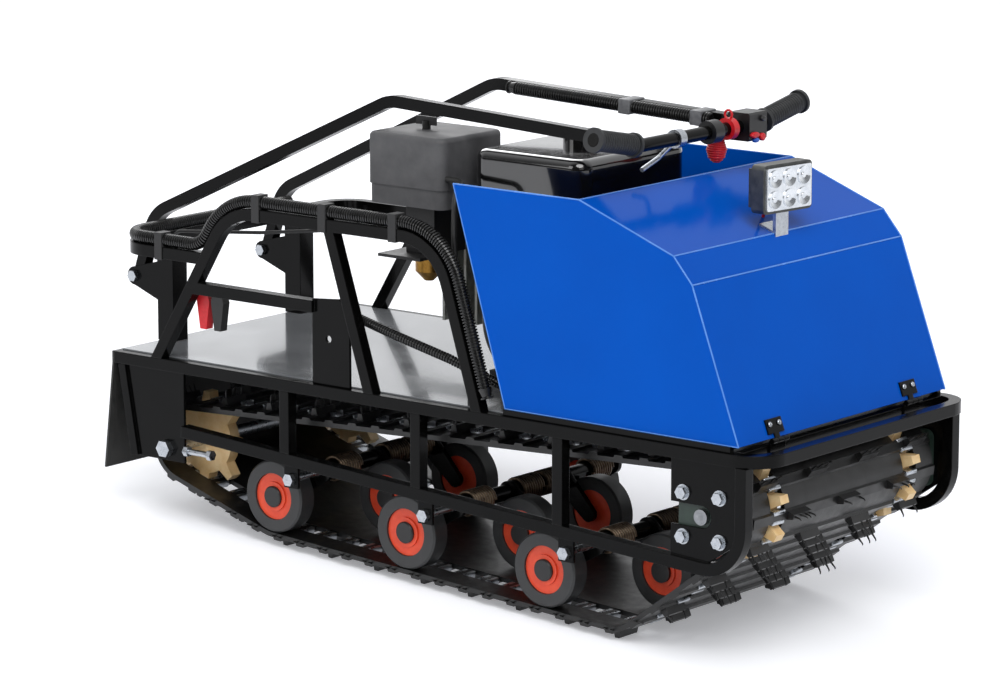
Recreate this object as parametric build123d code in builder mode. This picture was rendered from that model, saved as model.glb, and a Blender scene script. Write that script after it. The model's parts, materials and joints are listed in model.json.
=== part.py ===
"""Tracked snow tug: a walk-behind tractor on one rubber track, with a tilting hood and a folding handle.

The machine is modelled level, in millimetres: +X is forward, +Y is left and +Z is up, and zero is the
lower front edge of the hood. At the end every piece is stood on the ground, which tips the nose up.
"""
import os
from math import atan2, cos, degrees, hypot, radians, sin, tan

from build123d import *

# Clearance between pieces that seat on or in each other
GAP = 0.3

# Track
TRACK_WIDTH = 500.0
BELT_INNER = 60.0
BELT = 8.0
LUG = 16.0
LUG_PITCH = 50.3
LUG_TOP = 8.0
LUG_WIDTH = 48.0
LUG_PLACES = ((-0.82, -0.28, 0.28, 0.82), (-0.55, 0.0, 0.55))
RUNG_FOOT = 20.0
RUNG_TOP = 15.0
RUNG_RISE = 4.0
RUNG_INSET = 1.5
WINDOW = 38.0
WINDOW_INSET = 67.0

# Frame of square tube
TUBE = 20.0
TRACK_ROOM = 27.0
RAIL_TOP = -10.0
RAIL_REAR = -1305.0
BUMPER_FRONT = 52.0
BUMPER_BEND = 50.0
NOSE_UP = 3.57
LOWER_RAIL_REAR = -1152.0
LOWER_RAIL_REAR_HEIGHT = -130.5
LOOP_FRONT = 12.0
LOOP_BEND = 70.0
POST_PLACES = (-919.0, -636.0, -344.0)
CROSS_PLACES = (-1295.0, -919.0, -636.0, -344.0, -10.0)
PLATE = 5.0
WELD = 1.0
REAR_PLATE_TOP = -1290.0
REAR_PLATE_FOOT = -1262.0
REAR_PLATE_BOTTOM = -186.0
REAR_STAY = 16.0

# Deck and mud flap
DECK_SHEET = 2.0
DECK_MARGIN = 2.0
FLAP_SHEET = 4.0
FLAP_BOTTOM = -216.0
FLAP_SLANT = 22.0

# Drive axles, bearings and sprockets
FRONT_AXLE = (-66.0, -118.0)
REAR_AXLE = (-1191.0, -165.0)
FRONT_SHAFT = 25.0
REAR_SHAFT = 20.0
SHAFT_END = 6.0
BOLT_SQUARE = 70.0
BOLT_HEAD = 10.0
BOLT_HEAD_HEIGHT = 8.0
WASHER = 12.5
WASHER_HEIGHT = 2.0
BEARING_FLANGE = 95.0
BEARING_CORNER = 14.0
BEARING_FOOT = 12.0
BEARING_DEPTH = 34.0
BEARING_RADIUS = 35.0
BEARING_PLATE = ((-125.0, -187.0), (-60.0, -194.0), (4.0, -150.0))
BEARING_SLOT = 36.0
SPROCKET_TEETH = 8
SPROCKET_TIP = 83.0
SPROCKET_THICK = 22.0
TOOTH_ROOT = 25.0
TOOTH_TIP = 13.0
REAR_NUT = 15.0
REAR_NUT_HEIGHT = 12.0
TENSIONER = 10.0
TENSIONER_LENGTH = 62.0
TENSIONER_NUT = 9.0

# Sprung rollers: pivots below the lower rails, outer rollers trail and inner rollers lead
PIVOT_PLACES = (-911.0, -621.5, -332.0)
PIVOT_DROP = 34.0
PIVOT_ROD = 12.0
PIVOT_TAB = 30.0
PIVOT_NUT = 11.0
PIVOT_NUT_HEIGHT = 9.0
OUTER_TRAIL = 75.0
INNER_LEAD = 58.0
ROLLER_DROP = 52.0
ROLLER_RADIUS = 62.0
ROLLER_WIDTH = 36.0
ROLLER_RIM = 40.0
TYRE_CHAMFER = 3.0
DISC_WIDTH = 28.0
DISC_HUB = 25.0
HUB_RISE = 3.0
CAP_RADIUS = 18.0
CAP_DEPTH = 5.0
INNER_ROLLER = 95.0
AXLE_STUB = 16.0
SLEEVE = 27.0
COIL = 44.0
COIL_LENGTH = 54.0
COIL_ROOM = 8.0
ARM = 9.0
ARM_EYE = 5.0
ARM_GAP = 2.0

# Hood of folded sheet, drawn from its lower front edge
HOOD_INSET = 11.0
HOOD_SHEET = 2.0
HOOD_SIDE = ((0.0, 0.0), (-90.5, 242.0), (-126.5, 283.5), (-310.5, 352.0), (-564.0, 352.0), (-458.0, 0.0))
SEAT_WIDTH = 10.0
SEAT_FRONT = -12.0
HINGE_ROW = 185.0
HINGE_WIDTH = 42.0
HINGE_AXIS = (6.0, -3.0)
HINGE_KNUCKLE = 4.5
HINGE_PIN = 2.0
HINGE_PLAY = 0.1
HINGE_SIDE = 1.0
HINGE_LEAF = 2.5
HINGE_LEAF_LENGTH = 30.0
HINGE_BASE = 3.0

# Work lamp
LAMP = (-112.0, -5.0, 357.0)
LAMP_TURN = -7.5
LAMP_WIDTH = 112.0
LAMP_HEIGHT = 78.0
LAMP_DEPTH = 26.0
LAMP_CORNER = 8.0
LENS_BORDER = 5.0
LENS_DEPTH = 4.0
LED_RADIUS = 14.0
LED_PITCH = 33.0
LED_TAPER = 20.0
LAMP_FIN = 3.0
LAMP_FINS = 7
LAMP_FIN_DEPTH = 12.0
WIRE = 5.0
WIRE_BEND = 10.0
WIRE_DROP = 20.0
WIRE_REACH = (22.0, 34.0)
FOOT_WIDTH = 34.0
FOOT_LENGTH = 30.0
FOOT_SHEET = 3.0

# Side hoops, rear loop and rear posts
HOOP = ((-1207.0, -10.0), (-1042.0, 258.0), (-593.0, 258.0), (-509.0, -10.0))
HOOP_BEND = 100.0
BRACE_HEIGHT = 120.0
GUSSET = ((-861.0, -10.0), (-861.0, 132.0), (-803.0, 137.0), (-781.0, 112.0), (-781.0, -10.0))
GUSSET_HOLE = (-826.0, 68.0)
GUSSET_HOLE_RADIUS = 6.0
DIAGONAL = ((-819.0, 250.0), (-735.0, -10.0))
LOOP_HEIGHT = 172.0
LOOP_REAR = -1290.0
LOOP_CORNER = 55.0
REAR_POST = 36.0
REAR_POST_SPLAY = 15.0
EAR_ROOT = (60.0, 130.0)
EAR_RADIUS = 16.0

# Folding handle
HANDLE_PIVOT = (-1362.0, 98.0)
HANDLE_TUBE = 20.0
HANDLE_BOSS = 28.0
HANDLE_BOLT = 10.0
HANDLE_NUT = 10.0
HANDLE_NUT_HEIGHT = 8.0
HANDLE_ELBOW = (-1325.0, 209.0)
HANDLE_KNEE = (-816.0, 447.0)
HANDLE_BEND = 70.0
KNEE_TUCK = 13.0
BAR_ROW_ROOM = 10.0
HANDLE_BAR = (-289.0, 424.0)
BAR_TUBE = 22.0
BAR_RISE = 23.0
BAR_ROOM = 6.0
GRIP = 32.0
GRIP_LENGTH = 118.0
GRIP_FLANGE = 40.0
GRIP_FLANGE_WIDTH = 6.0
SWITCH_WIDTH = 48.0
SWITCH_HEIGHT = 46.0
SWITCH_DEPTH = 44.0
LANYARD = 14.0
LANYARD_ROOM = 28.0
LANYARD_BACK = 23.0
LANYARD_DROP = 8.0
LANYARD_BODY = ((5.0, 0.0), (12.0, 14.0), (16.0, 28.0), (13.0, 40.0), (6.0, 49.0), (0.0, 50.0))
LANYARD_LINK = (4.0, 18.0)
CLIP_RING = (7.0, 2.0)
CLAMP_RADIUS = 19.0
CLAMP_WIDTH = 24.0
CLAMP_ROOM = 34.0
LEVER = 8.0
LEVER_BEND = 12.0
LEVER_ROW = -60.0
LEVER_BACK = 26.0
LEVER_STEPS = ((14.0, 32.0), (58.0, 46.0))

# Battery clamps, by place, with their heights at top, neck and foot
CLIP_PLACES = (-1116.0, -1084.0)
CLIP_HEIGHTS = (122.0, 96.0, 48.0)
CLIP_WIDTHS = (28.0, 14.0)
CLIP_THICK = 16.0

# Corrugated conduits, hose and cable
CONDUIT = 22.0
STRAP = 16.0
STRAP_SHEET = 2.0
STRAP_PLACES = (-985.0, -840.0, -690.0)
LOOP_STRAP = -1205.0
CONDUIT_END = 138.0
ARM_CONDUIT = (0.08, 0.86)
TURN_BEND = 42.0
HOSE = 9.0
HOSE_BEND = 24.0
HOSE_ROUTE = (
    (-656.7, -190.0, 338.0), (-622.0, -190.0, 338.0), (-592.0, -248.0, 322.0), (-582.0, -262.0, 262.0),
    (-575.0, -264.0, 180.0), (-566.0, -264.0, 96.0), (-552.0, -258.0, 40.0), (-552.0, -258.0, -7.7),
)
VENT_HOSE = 16.0
VENT_BEND = 60.0
VENT_ROUTE = (
    (-800.0, -268.7, 111.0), (-696.0, -268.7, 86.0), (-600.0, -252.0, 58.0), (-520.0, -228.0, 24.0),
    (-470.0, -212.0, 1.0),
)
CABLE = 6.0
CABLE_BEND = 30.0
CABLE_ROUTE = (
    (-1279.6, -215.0, 176.0), (-1250.0, -215.0, 176.0), (-1205.0, -238.0, 200.0), (-1010.0, -250.0, 220.0),
    (-880.0, -240.0, 236.0), (-830.0, -170.0, 246.0), (-798.0, -150.0, 246.0), (-772.3, -150.0, 246.0),
)

# Engine
CASE_X = (-600.0, -390.0)
CASE_Y = (-120.0, 110.0)
CASE_TOP = 225.0
CASE_FILLET = 18.0
CASE_FOOT = 24.0
CRANK = (-495.0, 115.0)
TANK_STAND = 80.0
TANK_X = (-628.0, -398.0)
TANK_Y = (-165.0, 120.0)
TANK_Z = (292.0, 388.0)
TANK_CORNER = 28.0
TANK_EDGE = 16.0
TANK_SEAM = 3.0
TANK_CAP = 28.0
TANK_CAP_HEIGHT = 14.0
HEAD_X = -762.0
HEAD_Y = (-50.0, 70.0)
HEAD_Z = (100.0, 215.0)
FIN = 5.0
FIN_COUNT = 7
FIN_REACH = 24.0
STARTER_RADIUS = 105.0
STARTER_DEPTH = 60.0
STARTER_CUP = 62.0
STARTER_CUP_DEPTH = 25.0
STARTER_SLOTS = 12
GUARD_DEPTH = 85.0
GUARD_FRONT = (-225.0, 80.0)
GUARD_RADII = (95.0, 86.0)
GUARD_EDGE = 12.0
FILTER_X = (-820.0, -657.0)
FILTER_Y = (-200.0, -40.0)
FILTER_Z = (286.0, 403.0)
FILTER_CORNER = 16.0
FILTER_TRAY = 32.0
FILTER_LIP = 4.0
FILTER_KNOB = (-757.0, -120.0)
KNOB_HEIGHT = 14.0
CARBURETTOR = (-742.0, -132.0)
BOWL_RADIUS = 23.0
BOWL_TOP = 196.0
BOWL_DEPTH = 26.0
BOWL_TIP = 16.0
THROAT = 30.0
SILENCER_SIZE = (122.0, 140.0, 100.0)
SILENCER_FILLET = 24.0

# Worked out from the sizes above
FRAME_WIDTH = TRACK_WIDTH + 2 * (TRACK_ROOM + TUBE)
RAIL_ROW = (FRAME_WIDTH - TUBE) / 2
RAIL_INSIDE = RAIL_ROW - TUBE / 2
RAIL_BOTTOM = RAIL_TOP - TUBE
RAIL_MIDDLE = RAIL_TOP - TUBE / 2
DECK_TOP = RAIL_TOP + DECK_SHEET
PLATE_FACE = RAIL_ROW + PLATE / 2
PLATE_INSIDE = RAIL_ROW - PLATE / 2
SLOPE = tan(radians(NOSE_UP))
SPROCKET_ROW = TRACK_WIDTH / 2 - WINDOW_INSET
OUTER_ROLLER = (TRACK_WIDTH - ROLLER_WIDTH) / 2
HOOD_WIDTH = FRAME_WIDTH - 2 * HOOD_INSET
BAR_WIDTH = HOOD_WIDTH - 2 * (HOOD_SHEET + BAR_ROOM)
CONDUIT_LIFT = (TUBE + CONDUIT) / 2 + GAP
BAR_END = BAR_WIDTH / 2
BAR_CORNER = BAR_END - GRIP_LENGTH
BAR_ROW = BAR_CORNER - BAR_ROW_ROOM
KNEE_ROW = BAR_ROW - KNEE_TUCK
REAR_POST_ROW = BAR_ROW + REAR_POST_SPLAY
SWITCH_LEFT = BAR_CORNER - GRIP_FLANGE_WIDTH
SWITCH_RIGHT = SWITCH_LEFT - SWITCH_WIDTH
LANYARD_ROW = SWITCH_RIGHT - LANYARD_ROOM
CLAMP_LEFT = LANYARD_ROW - CLAMP_ROOM
LAMP_FIN_PITCH = (LAMP_WIDTH - 2 * LAMP_CORNER) / (LAMP_FINS - 1)


def lower_rail(x):
    """Height of the lower rail's middle line, which runs parallel to the ground."""
    return LOWER_RAIL_REAR_HEIGHT - SLOPE * (x - LOWER_RAIL_REAR)


def pivot_height(x):
    """Height of a roller pivot below the lower rail."""
    return lower_rail(x) - PIVOT_DROP


def side(y):
    """A plane facing right at the given row: its own x is forward and its own y is up."""
    return Plane(origin=(0, y, 0), x_dir=(1, 0, 0), z_dir=(0, -1, 0))


def in_side(points, y):
    """Points of a side view, placed at one row."""
    return [(x, y, z) for x, z in points]


def block(x, y, z):
    """A box between two limits along each axis."""
    with BuildPart() as piece:
        with Locations(((x[0] + x[1]) / 2, (y[0] + y[1]) / 2, (z[0] + z[1]) / 2)):
            Box(x[1] - x[0], y[1] - y[0], z[1] - z[0])
    return piece.part


def rod(x, z, y, radius):
    """A round bar across the machine at (x, z), between two rows."""
    with BuildPart() as piece:
        with BuildSketch(side(y[1])):
            with Locations((x, z)):
                Circle(radius)
        extrude(amount=y[1] - y[0])
    return piece.part


def nut(x, z, y, radius):
    """A hexagon across the machine at (x, z), between two rows."""
    with BuildPart() as piece:
        with BuildSketch(side(y[1])):
            with Locations((x, z)):
                RegularPolygon(radius, 6)
        extrude(amount=y[1] - y[0])
    return piece.part


def tube(points, bend, size, up, is_round=False):
    """A tube along straight runs joined by bends, one radius for all or one for each corner."""
    with BuildPart() as piece:
        with BuildLine() as path:
            if len(points) == 2:
                Line(*points)
            else:
                FilletPolyline(*points, radius=bend)
        with BuildSketch(Plane(origin=path.line @ 0, x_dir=up, z_dir=path.line % 0)):
            if is_round:
                Circle(size / 2)
            else:
                Rectangle(size, size)
        sweep()
    return piece.part


def along(line, height):
    """Place on a straight run of a side view at the given height."""
    (x0, z0), (x1, z1) = line
    return x0 + (x1 - x0) * (height - z0) / (z1 - z0)


def pushed_out(before, corner, after, reach):
    """A corner of a bent run, moved to the run that lies the given distance to its left."""
    first = (Vector(*corner) - Vector(*before)).normalized()
    second = (Vector(*after) - Vector(*corner)).normalized()
    left = Vector(-first.Y, first.X) + Vector(-second.Y, second.X)
    return Vector(*corner) + left * (reach / (1 + first.dot(second)))


# Upper frame: both rails and the bumper bent round the front in one run
with BuildPart() as upper_frame:
    front = BUMPER_FRONT - TUBE / 2
    corners = [(RAIL_REAR, RAIL_ROW), (front, RAIL_ROW), (front, -RAIL_ROW), (RAIL_REAR, -RAIL_ROW)]
    add(tube([(x, y, RAIL_MIDDLE) for x, y in corners], BUMPER_BEND, TUBE, (0, 0, 1)))

with BuildPart() as cross_members:
    for x in CROSS_PLACES:
        add(block((x - TUBE / 2, x + TUBE / 2), (-RAIL_INSIDE, RAIL_INSIDE), (RAIL_BOTTOM, RAIL_TOP)))
    add(upper_frame.part, mode=Mode.SUBTRACT)

# Side frames: lower rail turned up at the front, bearing plate, rear plate with its stay, roller tabs
with BuildPart() as side_frames:
    corner = (LOOP_FRONT, lower_rail(LOOP_FRONT))
    loop = [(LOWER_RAIL_REAR, LOWER_RAIL_REAR_HEIGHT), corner, (LOOP_FRONT, RAIL_BOTTOM)]
    add(tube(in_side(loop, -RAIL_ROW), LOOP_BEND, TUBE, (0, 1, 0)))
    plate_front = LOWER_RAIL_REAR + WELD
    with BuildSketch(side(-RAIL_ROW)):
        Polygon(
            (REAR_PLATE_TOP, RAIL_BOTTOM), (REAR_PLATE_FOOT, REAR_PLATE_BOTTOM),
            (plate_front, REAR_PLATE_BOTTOM), (plate_front, RAIL_BOTTOM), align=None,
        )
    extrude(amount=PLATE / 2, both=True)
    stay = [(REAR_PLATE_TOP, RAIL_BOTTOM), (REAR_PLATE_FOOT, REAR_PLATE_BOTTOM)]
    add(tube(in_side(stay, -RAIL_ROW), 0, REAR_STAY, (0, 1, 0)))
    with BuildSketch(side(-RAIL_ROW)):
        rear, front = BEARING_PLATE[0][0], BEARING_PLATE[-1][0]
        Polygon((rear, RAIL_BOTTOM), *BEARING_PLATE, (front, RAIL_BOTTOM), align=None)
        with Locations(((rear + FRONT_AXLE[0]) / 2, FRONT_AXLE[1])):
            Rectangle(FRONT_AXLE[0] - rear, BEARING_SLOT, mode=Mode.SUBTRACT)
        with Locations(FRONT_AXLE):
            Circle(BEARING_SLOT / 2, mode=Mode.SUBTRACT)
    extrude(amount=PLATE / 2, both=True)
    with BuildSketch(side(-RAIL_ROW)):
        for x in PIVOT_PLACES:
            with Locations((x, lower_rail(x) - (PIVOT_DROP + PIVOT_TAB / 2) / 2)):
                Rectangle(PIVOT_TAB, PIVOT_DROP + PIVOT_TAB / 2)
    extrude(amount=PLATE / 2, both=True)
    for x in PIVOT_PLACES:
        add(rod(x, pivot_height(x), (-FRAME_WIDTH, 0), PIVOT_ROD / 2 + GAP), mode=Mode.SUBTRACT)
    add(rod(*REAR_AXLE, (-FRAME_WIDTH, 0), REAR_SHAFT / 2 + GAP), mode=Mode.SUBTRACT)
    split(bisect_by=Plane.XY.offset(RAIL_BOTTOM), keep=Keep.BOTTOM)
    mirror(about=Plane.XZ)

with BuildPart() as posts:
    with BuildSketch(side(-RAIL_ROW)):
        rise = TUBE / 2 / cos(radians(NOSE_UP))
        for x in POST_PLACES:
            rear, front = x - TUBE / 2, x + TUBE / 2
            feet = ((front, lower_rail(front) + rise), (rear, lower_rail(rear) + rise))
            Polygon((rear, RAIL_BOTTOM), (front, RAIL_BOTTOM), *feet, align=None)
    extrude(amount=TUBE / 2, both=True)
    mirror(about=Plane.XZ)

with BuildPart() as deck:
    half = RAIL_INSIDE - GAP
    add(block((RAIL_REAR + DECK_MARGIN, CROSS_PLACES[-1] - TUBE / 2), (-half, half), (RAIL_TOP, DECK_TOP)))

with BuildPart() as mud_flap:
    with BuildSketch(side(-FRAME_WIDTH / 2)):
        foot = RAIL_REAR - FLAP_SLANT
        Polygon(
            (RAIL_REAR, RAIL_TOP), (RAIL_REAR, RAIL_BOTTOM), (foot, FLAP_BOTTOM),
            (foot - FLAP_SHEET, FLAP_BOTTOM), (RAIL_REAR - FLAP_SHEET, RAIL_BOTTOM),
            (RAIL_REAR - FLAP_SHEET, RAIL_TOP), align=None,
        )
    extrude(amount=-FRAME_WIDTH)

# Drive: front shaft in flange bearings, rear shaft with its tensioners
with BuildPart() as bearings:
    with BuildSketch(side(-PLATE_INSIDE)):
        with Locations(FRONT_AXLE):
            RectangleRounded(BEARING_FLANGE, BEARING_FLANGE, BEARING_CORNER)
            Circle(FRONT_SHAFT / 2 + GAP, mode=Mode.SUBTRACT)
    extrude(amount=-BEARING_FOOT)
    with BuildSketch(side(-PLATE_INSIDE + BEARING_FOOT)):
        with Locations(FRONT_AXLE):
            Circle(BEARING_RADIUS)
            Circle(FRONT_SHAFT / 2 + GAP, mode=Mode.SUBTRACT)
    extrude(amount=-(BEARING_DEPTH - BEARING_FOOT))
    mirror(about=Plane.XZ)

with BuildPart() as bearing_bolts:
    for dx in (-BOLT_SQUARE / 2, BOLT_SQUARE / 2):
        for dz in (-BOLT_SQUARE / 2, BOLT_SQUARE / 2):
            x, z = FRONT_AXLE[0] + dx, FRONT_AXLE[1] + dz
            face = -PLATE_FACE - WASHER_HEIGHT
            add(rod(x, z, (face, -PLATE_FACE), WASHER))
            add(nut(x, z, (face - BOLT_HEAD_HEIGHT, face), BOLT_HEAD))
    mirror(about=Plane.XZ)

with BuildPart() as front_shaft:
    end = RAIL_ROW + SHAFT_END
    add(rod(*FRONT_AXLE, (-end, end), FRONT_SHAFT / 2))

with BuildPart() as rear_shaft:
    add(rod(*REAR_AXLE, (-PLATE_FACE, PLATE_FACE), REAR_SHAFT / 2))
    add(nut(*REAR_AXLE, (PLATE_FACE, PLATE_FACE + REAR_NUT_HEIGHT), REAR_NUT))
    add(nut(*REAR_AXLE, (-PLATE_FACE - REAR_NUT_HEIGHT, -PLATE_FACE), REAR_NUT))

with BuildPart() as tensioners:
    start = plate_front
    for place, radius, length, sides in (
        (start, TENSIONER / 2, TENSIONER_LENGTH, 0),
        (start, TENSIONER_NUT, TENSIONER_NUT, 6),
        (start + TENSIONER_LENGTH - TENSIONER_NUT, TENSIONER_NUT, TENSIONER_NUT, 6),
    ):
        with BuildSketch(Plane(origin=(place, -RAIL_ROW, REAR_AXLE[1]), x_dir=(0, 1, 0), z_dir=(1, 0, 0))):
            if sides:
                RegularPolygon(radius, sides)
            else:
                Circle(radius)
        extrude(amount=length)
    mirror(about=Plane.XZ)


def roller_axles():
    """Pivot place and height, then roller place, height and row, for each sprung roller on the right."""
    rows = []
    for x in PIVOT_PLACES:
        z = pivot_height(x)
        for shift, row in ((-OUTER_TRAIL, OUTER_ROLLER), (INNER_LEAD, INNER_ROLLER)):
            rows.append((x, z, x + shift, z - ROLLER_DROP - SLOPE * shift, row))
    return rows


def track_loop(extra):
    """The belt's side view: the hull of sprockets and rollers, grown by some thickness."""
    with BuildSketch() as outline:
        for x, z in (FRONT_AXLE, REAR_AXLE):
            with Locations((x, z)):
                Circle(BELT_INNER + extra)
        for _, _, x, z, _ in (roller_axles()[-1], roller_axles()[0]):
            with Locations((x, z)):
                Circle(ROLLER_RADIUS + GAP + extra)
        make_hull()
    return outline.sketch


rung_line = track_loop(BELT / 2).faces()[0].outer_wire()
rung_count = 2 * round(rung_line.length / LUG_PITCH / 2)
rung_places = [(rung_line @ (i / rung_count), rung_line % (i / rung_count)) for i in range(rung_count)]



def rung_profile(row, foot, low, high, top, tip):
    """Side view of one rung or lug on the belt: half widths at its foot and top, heights between."""
    place, run = rung_places[row]
    out = Vector(run.Y, -run.X, 0)
    if out.dot(place - rung_line.center()) < 0:
        out = out * -1
    outline = ((-foot, low), (foot, low), (foot, high), (top, tip), (-top, tip), (-foot, high))
    Polygon(*[place + run * step + out * rise for step, rise in outline], align=None)


# Track: three strips of belt joined by rungs, which leave the windows for the teeth, with staggered lugs
with BuildPart() as track:
    window_inner = SPROCKET_ROW - WINDOW / 2
    window_outer = SPROCKET_ROW + WINDOW / 2
    edge = TRACK_WIDTH / 2
    for right, left in ((-edge, -window_outer), (-window_inner, window_inner), (window_outer, edge)):
        with BuildSketch(side(left)):
            add(track_loop(BELT))
            add(track_loop(0), mode=Mode.SUBTRACT)
        extrude(amount=left - right)
    foot, low, high = RUNG_FOOT / 2, RUNG_INSET - BELT / 2, BELT / 2 - RUNG_INSET
    lug_foot = foot - RUNG_INSET
    with BuildSketch(side(TRACK_WIDTH / 2)):
        for row in range(rung_count):
            rung_profile(row, foot, low, high, RUNG_TOP / 2, BELT / 2 + RUNG_RISE)
    extrude(amount=TRACK_WIDTH)
    for turn, shares in enumerate(LUG_PLACES):
        for share in shares:
            with BuildSketch(side((share * TRACK_WIDTH + LUG_WIDTH) / 2)):
                for row in range(turn, rung_count, len(LUG_PLACES)):
                    rung_profile(row, lug_foot, low + RUNG_INSET, high, LUG_TOP / 2, BELT / 2 + LUG)
            extrude(amount=LUG_WIDTH)


def tooth_turn(axle):
    """Turn of a sprocket that puts its teeth midway between the rungs that lie on it."""
    turns = []
    for place, _ in rung_places:
        dx, dz = place.X - axle[0], place.Y - axle[1]
        if abs(hypot(dx, dz) - BELT_INNER - BELT / 2) < GAP:
            turns.append(degrees(atan2(dz, dx)))
    turns.sort()
    return turns[len(turns) // 2] + 180 / SPROCKET_TEETH


def sprocket_pair(axle, shaft):
    """Two toothed wheels on one shaft, in line with the track's windows."""
    with BuildPart() as pair:
        with BuildSketch(side(-SPROCKET_ROW + SPROCKET_THICK / 2)):
            with Locations(axle):
                Circle(BELT_INNER - GAP)
                with PolarLocations(0, SPROCKET_TEETH, start_angle=tooth_turn(axle)):
                    root, tip, rim = TOOTH_ROOT / 2, TOOTH_TIP / 2, BELT_INNER - BELT
                    crown = ((SPROCKET_TIP, tip), (SPROCKET_TIP, -tip))
                    Polygon((rim, -root), (rim, root), *crown, align=None)
                Circle(shaft / 2 + GAP, mode=Mode.SUBTRACT)
        extrude(amount=SPROCKET_THICK)
        mirror(about=Plane.XZ)
    return pair.part


with BuildPart() as front_sprockets:
    add(sprocket_pair(FRONT_AXLE, FRONT_SHAFT))

with BuildPart() as rear_sprockets:
    add(sprocket_pair(REAR_AXLE, REAR_SHAFT))

# Sprung rollers: rods between the side frames carry sleeves with arms, coils and rollers
arm_face = {row: row - ROLLER_WIDTH / 2 - ARM_GAP for row in (OUTER_ROLLER, INNER_ROLLER)}
tyre_edge, arm_edge = INNER_ROLLER + ROLLER_WIDTH / 2, arm_face[OUTER_ROLLER] - ARM
coil_length = min(COIL_LENGTH, arm_edge - tyre_edge - COIL_ROOM)
inner_coil = arm_face[INNER_ROLLER] - ARM - COIL_ROOM - coil_length / 2
outer_coil = (tyre_edge + arm_edge) / 2

with BuildPart() as pivot_rods:
    for x in PIVOT_PLACES:
        z = pivot_height(x)
        add(rod(x, z, (-PLATE_FACE, PLATE_FACE), PIVOT_ROD / 2))
        add(nut(x, z, (PLATE_FACE, PLATE_FACE + PIVOT_NUT_HEIGHT), PIVOT_NUT))
        add(nut(x, z, (-PLATE_FACE - PIVOT_NUT_HEIGHT, -PLATE_FACE), PIVOT_NUT))

with BuildPart() as swing_arms:
    for x, z, roller_x, roller_z, row in roller_axles():
        with BuildSketch(side(-arm_face[row] + ARM)):
            with Locations((x, z)):
                Circle(SLEEVE / 2 + ARM_EYE)
            with Locations((roller_x, roller_z)):
                Circle(AXLE_STUB / 2 + ARM_EYE)
            make_hull()
        extrude(amount=ARM)
        add(rod(roller_x, roller_z, (-row - DISC_WIDTH / 2, -arm_face[row]), AXLE_STUB / 2))
    mirror(about=Plane.XZ)
    reach = arm_face[OUTER_ROLLER]
    for x in PIVOT_PLACES:
        add(rod(x, pivot_height(x), (-reach, reach), SLEEVE / 2))
        add(rod(x, pivot_height(x), (-reach, reach), PIVOT_ROD / 2 + GAP), mode=Mode.SUBTRACT)

with BuildPart() as torsion_springs:
    for x in PIVOT_PLACES:
        for y in (inner_coil, outer_coil):
            with BuildSketch(side(-y + coil_length / 2)):
                with Locations((x, pivot_height(x))):
                    Circle(COIL / 2)
                    Circle(SLEEVE / 2 + GAP, mode=Mode.SUBTRACT)
            extrude(amount=coil_length)
    mirror(about=Plane.XZ)

with BuildPart() as roller_tyres:
    for _, _, x, z, row in roller_axles():
        add(rod(x, z, (-row - ROLLER_WIDTH / 2, -row + ROLLER_WIDTH / 2), ROLLER_RADIUS))
    chamfer(roller_tyres.edges().filter_by(GeomType.CIRCLE), TYRE_CHAMFER)
    for _, _, x, z, row in roller_axles():
        add(rod(x, z, (-row - ROLLER_WIDTH, -row + ROLLER_WIDTH), ROLLER_RIM), mode=Mode.SUBTRACT)
    mirror(about=Plane.XZ)

with BuildPart() as roller_discs:
    for _, _, x, z, row in roller_axles():
        with BuildSketch(side(-row + DISC_WIDTH / 2)):
            with Locations((x, z)):
                Circle(ROLLER_RIM - GAP)
                Circle(AXLE_STUB / 2 + GAP, mode=Mode.SUBTRACT)
        extrude(amount=DISC_WIDTH)
        with BuildSketch(side(-row - DISC_WIDTH / 2)):
            with Locations((x, z)):
                Circle(DISC_HUB)
                Circle(AXLE_STUB / 2 + GAP, mode=Mode.SUBTRACT)
        extrude(amount=HUB_RISE)
    mirror(about=Plane.XZ)

with BuildPart() as roller_caps:
    for _, _, x, z, row in roller_axles():
        face = -row - DISC_WIDTH / 2 - HUB_RISE
        add(rod(x, z, (face - CAP_DEPTH, face), CAP_RADIUS))
    chamfer(roller_caps.edges().group_by(Axis.Y)[0], CAP_DEPTH / 3)
    mirror(about=Plane.XZ)

# Hoops with brace, gusset and diagonal, the loop between them and the rear posts
rear_leg, front_leg = HOOP[:2], HOOP[:1:-1]
below = RAIL_TOP - 2 * TUBE
with BuildPart() as hoops:
    bent = [(along(rear_leg, below), below), HOOP[1], HOOP[2], (along(front_leg, below), below)]
    add(tube(in_side(bent, -RAIL_ROW), HOOP_BEND, TUBE, (0, 1, 0)))
    brace = [(along(rear_leg, BRACE_HEIGHT), BRACE_HEIGHT), (GUSSET[1][0] + PLATE, BRACE_HEIGHT)]
    add(tube(in_side(brace, -RAIL_ROW), 0, TUBE, (0, 1, 0)))
    with BuildSketch(side(-RAIL_ROW)):
        Polygon(*GUSSET, align=None)
        with Locations(GUSSET_HOLE):
            Circle(GUSSET_HOLE_RADIUS, mode=Mode.SUBTRACT)
    extrude(amount=PLATE / 2, both=True)
    add(tube(in_side([DIAGONAL[0], (along(DIAGONAL, below), below)], -RAIL_ROW), 0, TUBE, (0, 1, 0)))
    split(bisect_by=Plane.XY.offset(RAIL_TOP), keep=Keep.TOP)
    mirror(about=Plane.XZ)

with BuildPart() as rear_loop:
    leg = along(rear_leg, LOOP_HEIGHT)
    corners = [(leg, RAIL_ROW), (LOOP_REAR, RAIL_ROW), (LOOP_REAR, -RAIL_ROW), (leg, -RAIL_ROW)]
    add(tube([(x, y, LOOP_HEIGHT) for x, y in corners], LOOP_CORNER, TUBE, (0, 0, 1)))
    add(hoops.part, mode=Mode.SUBTRACT)

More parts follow.
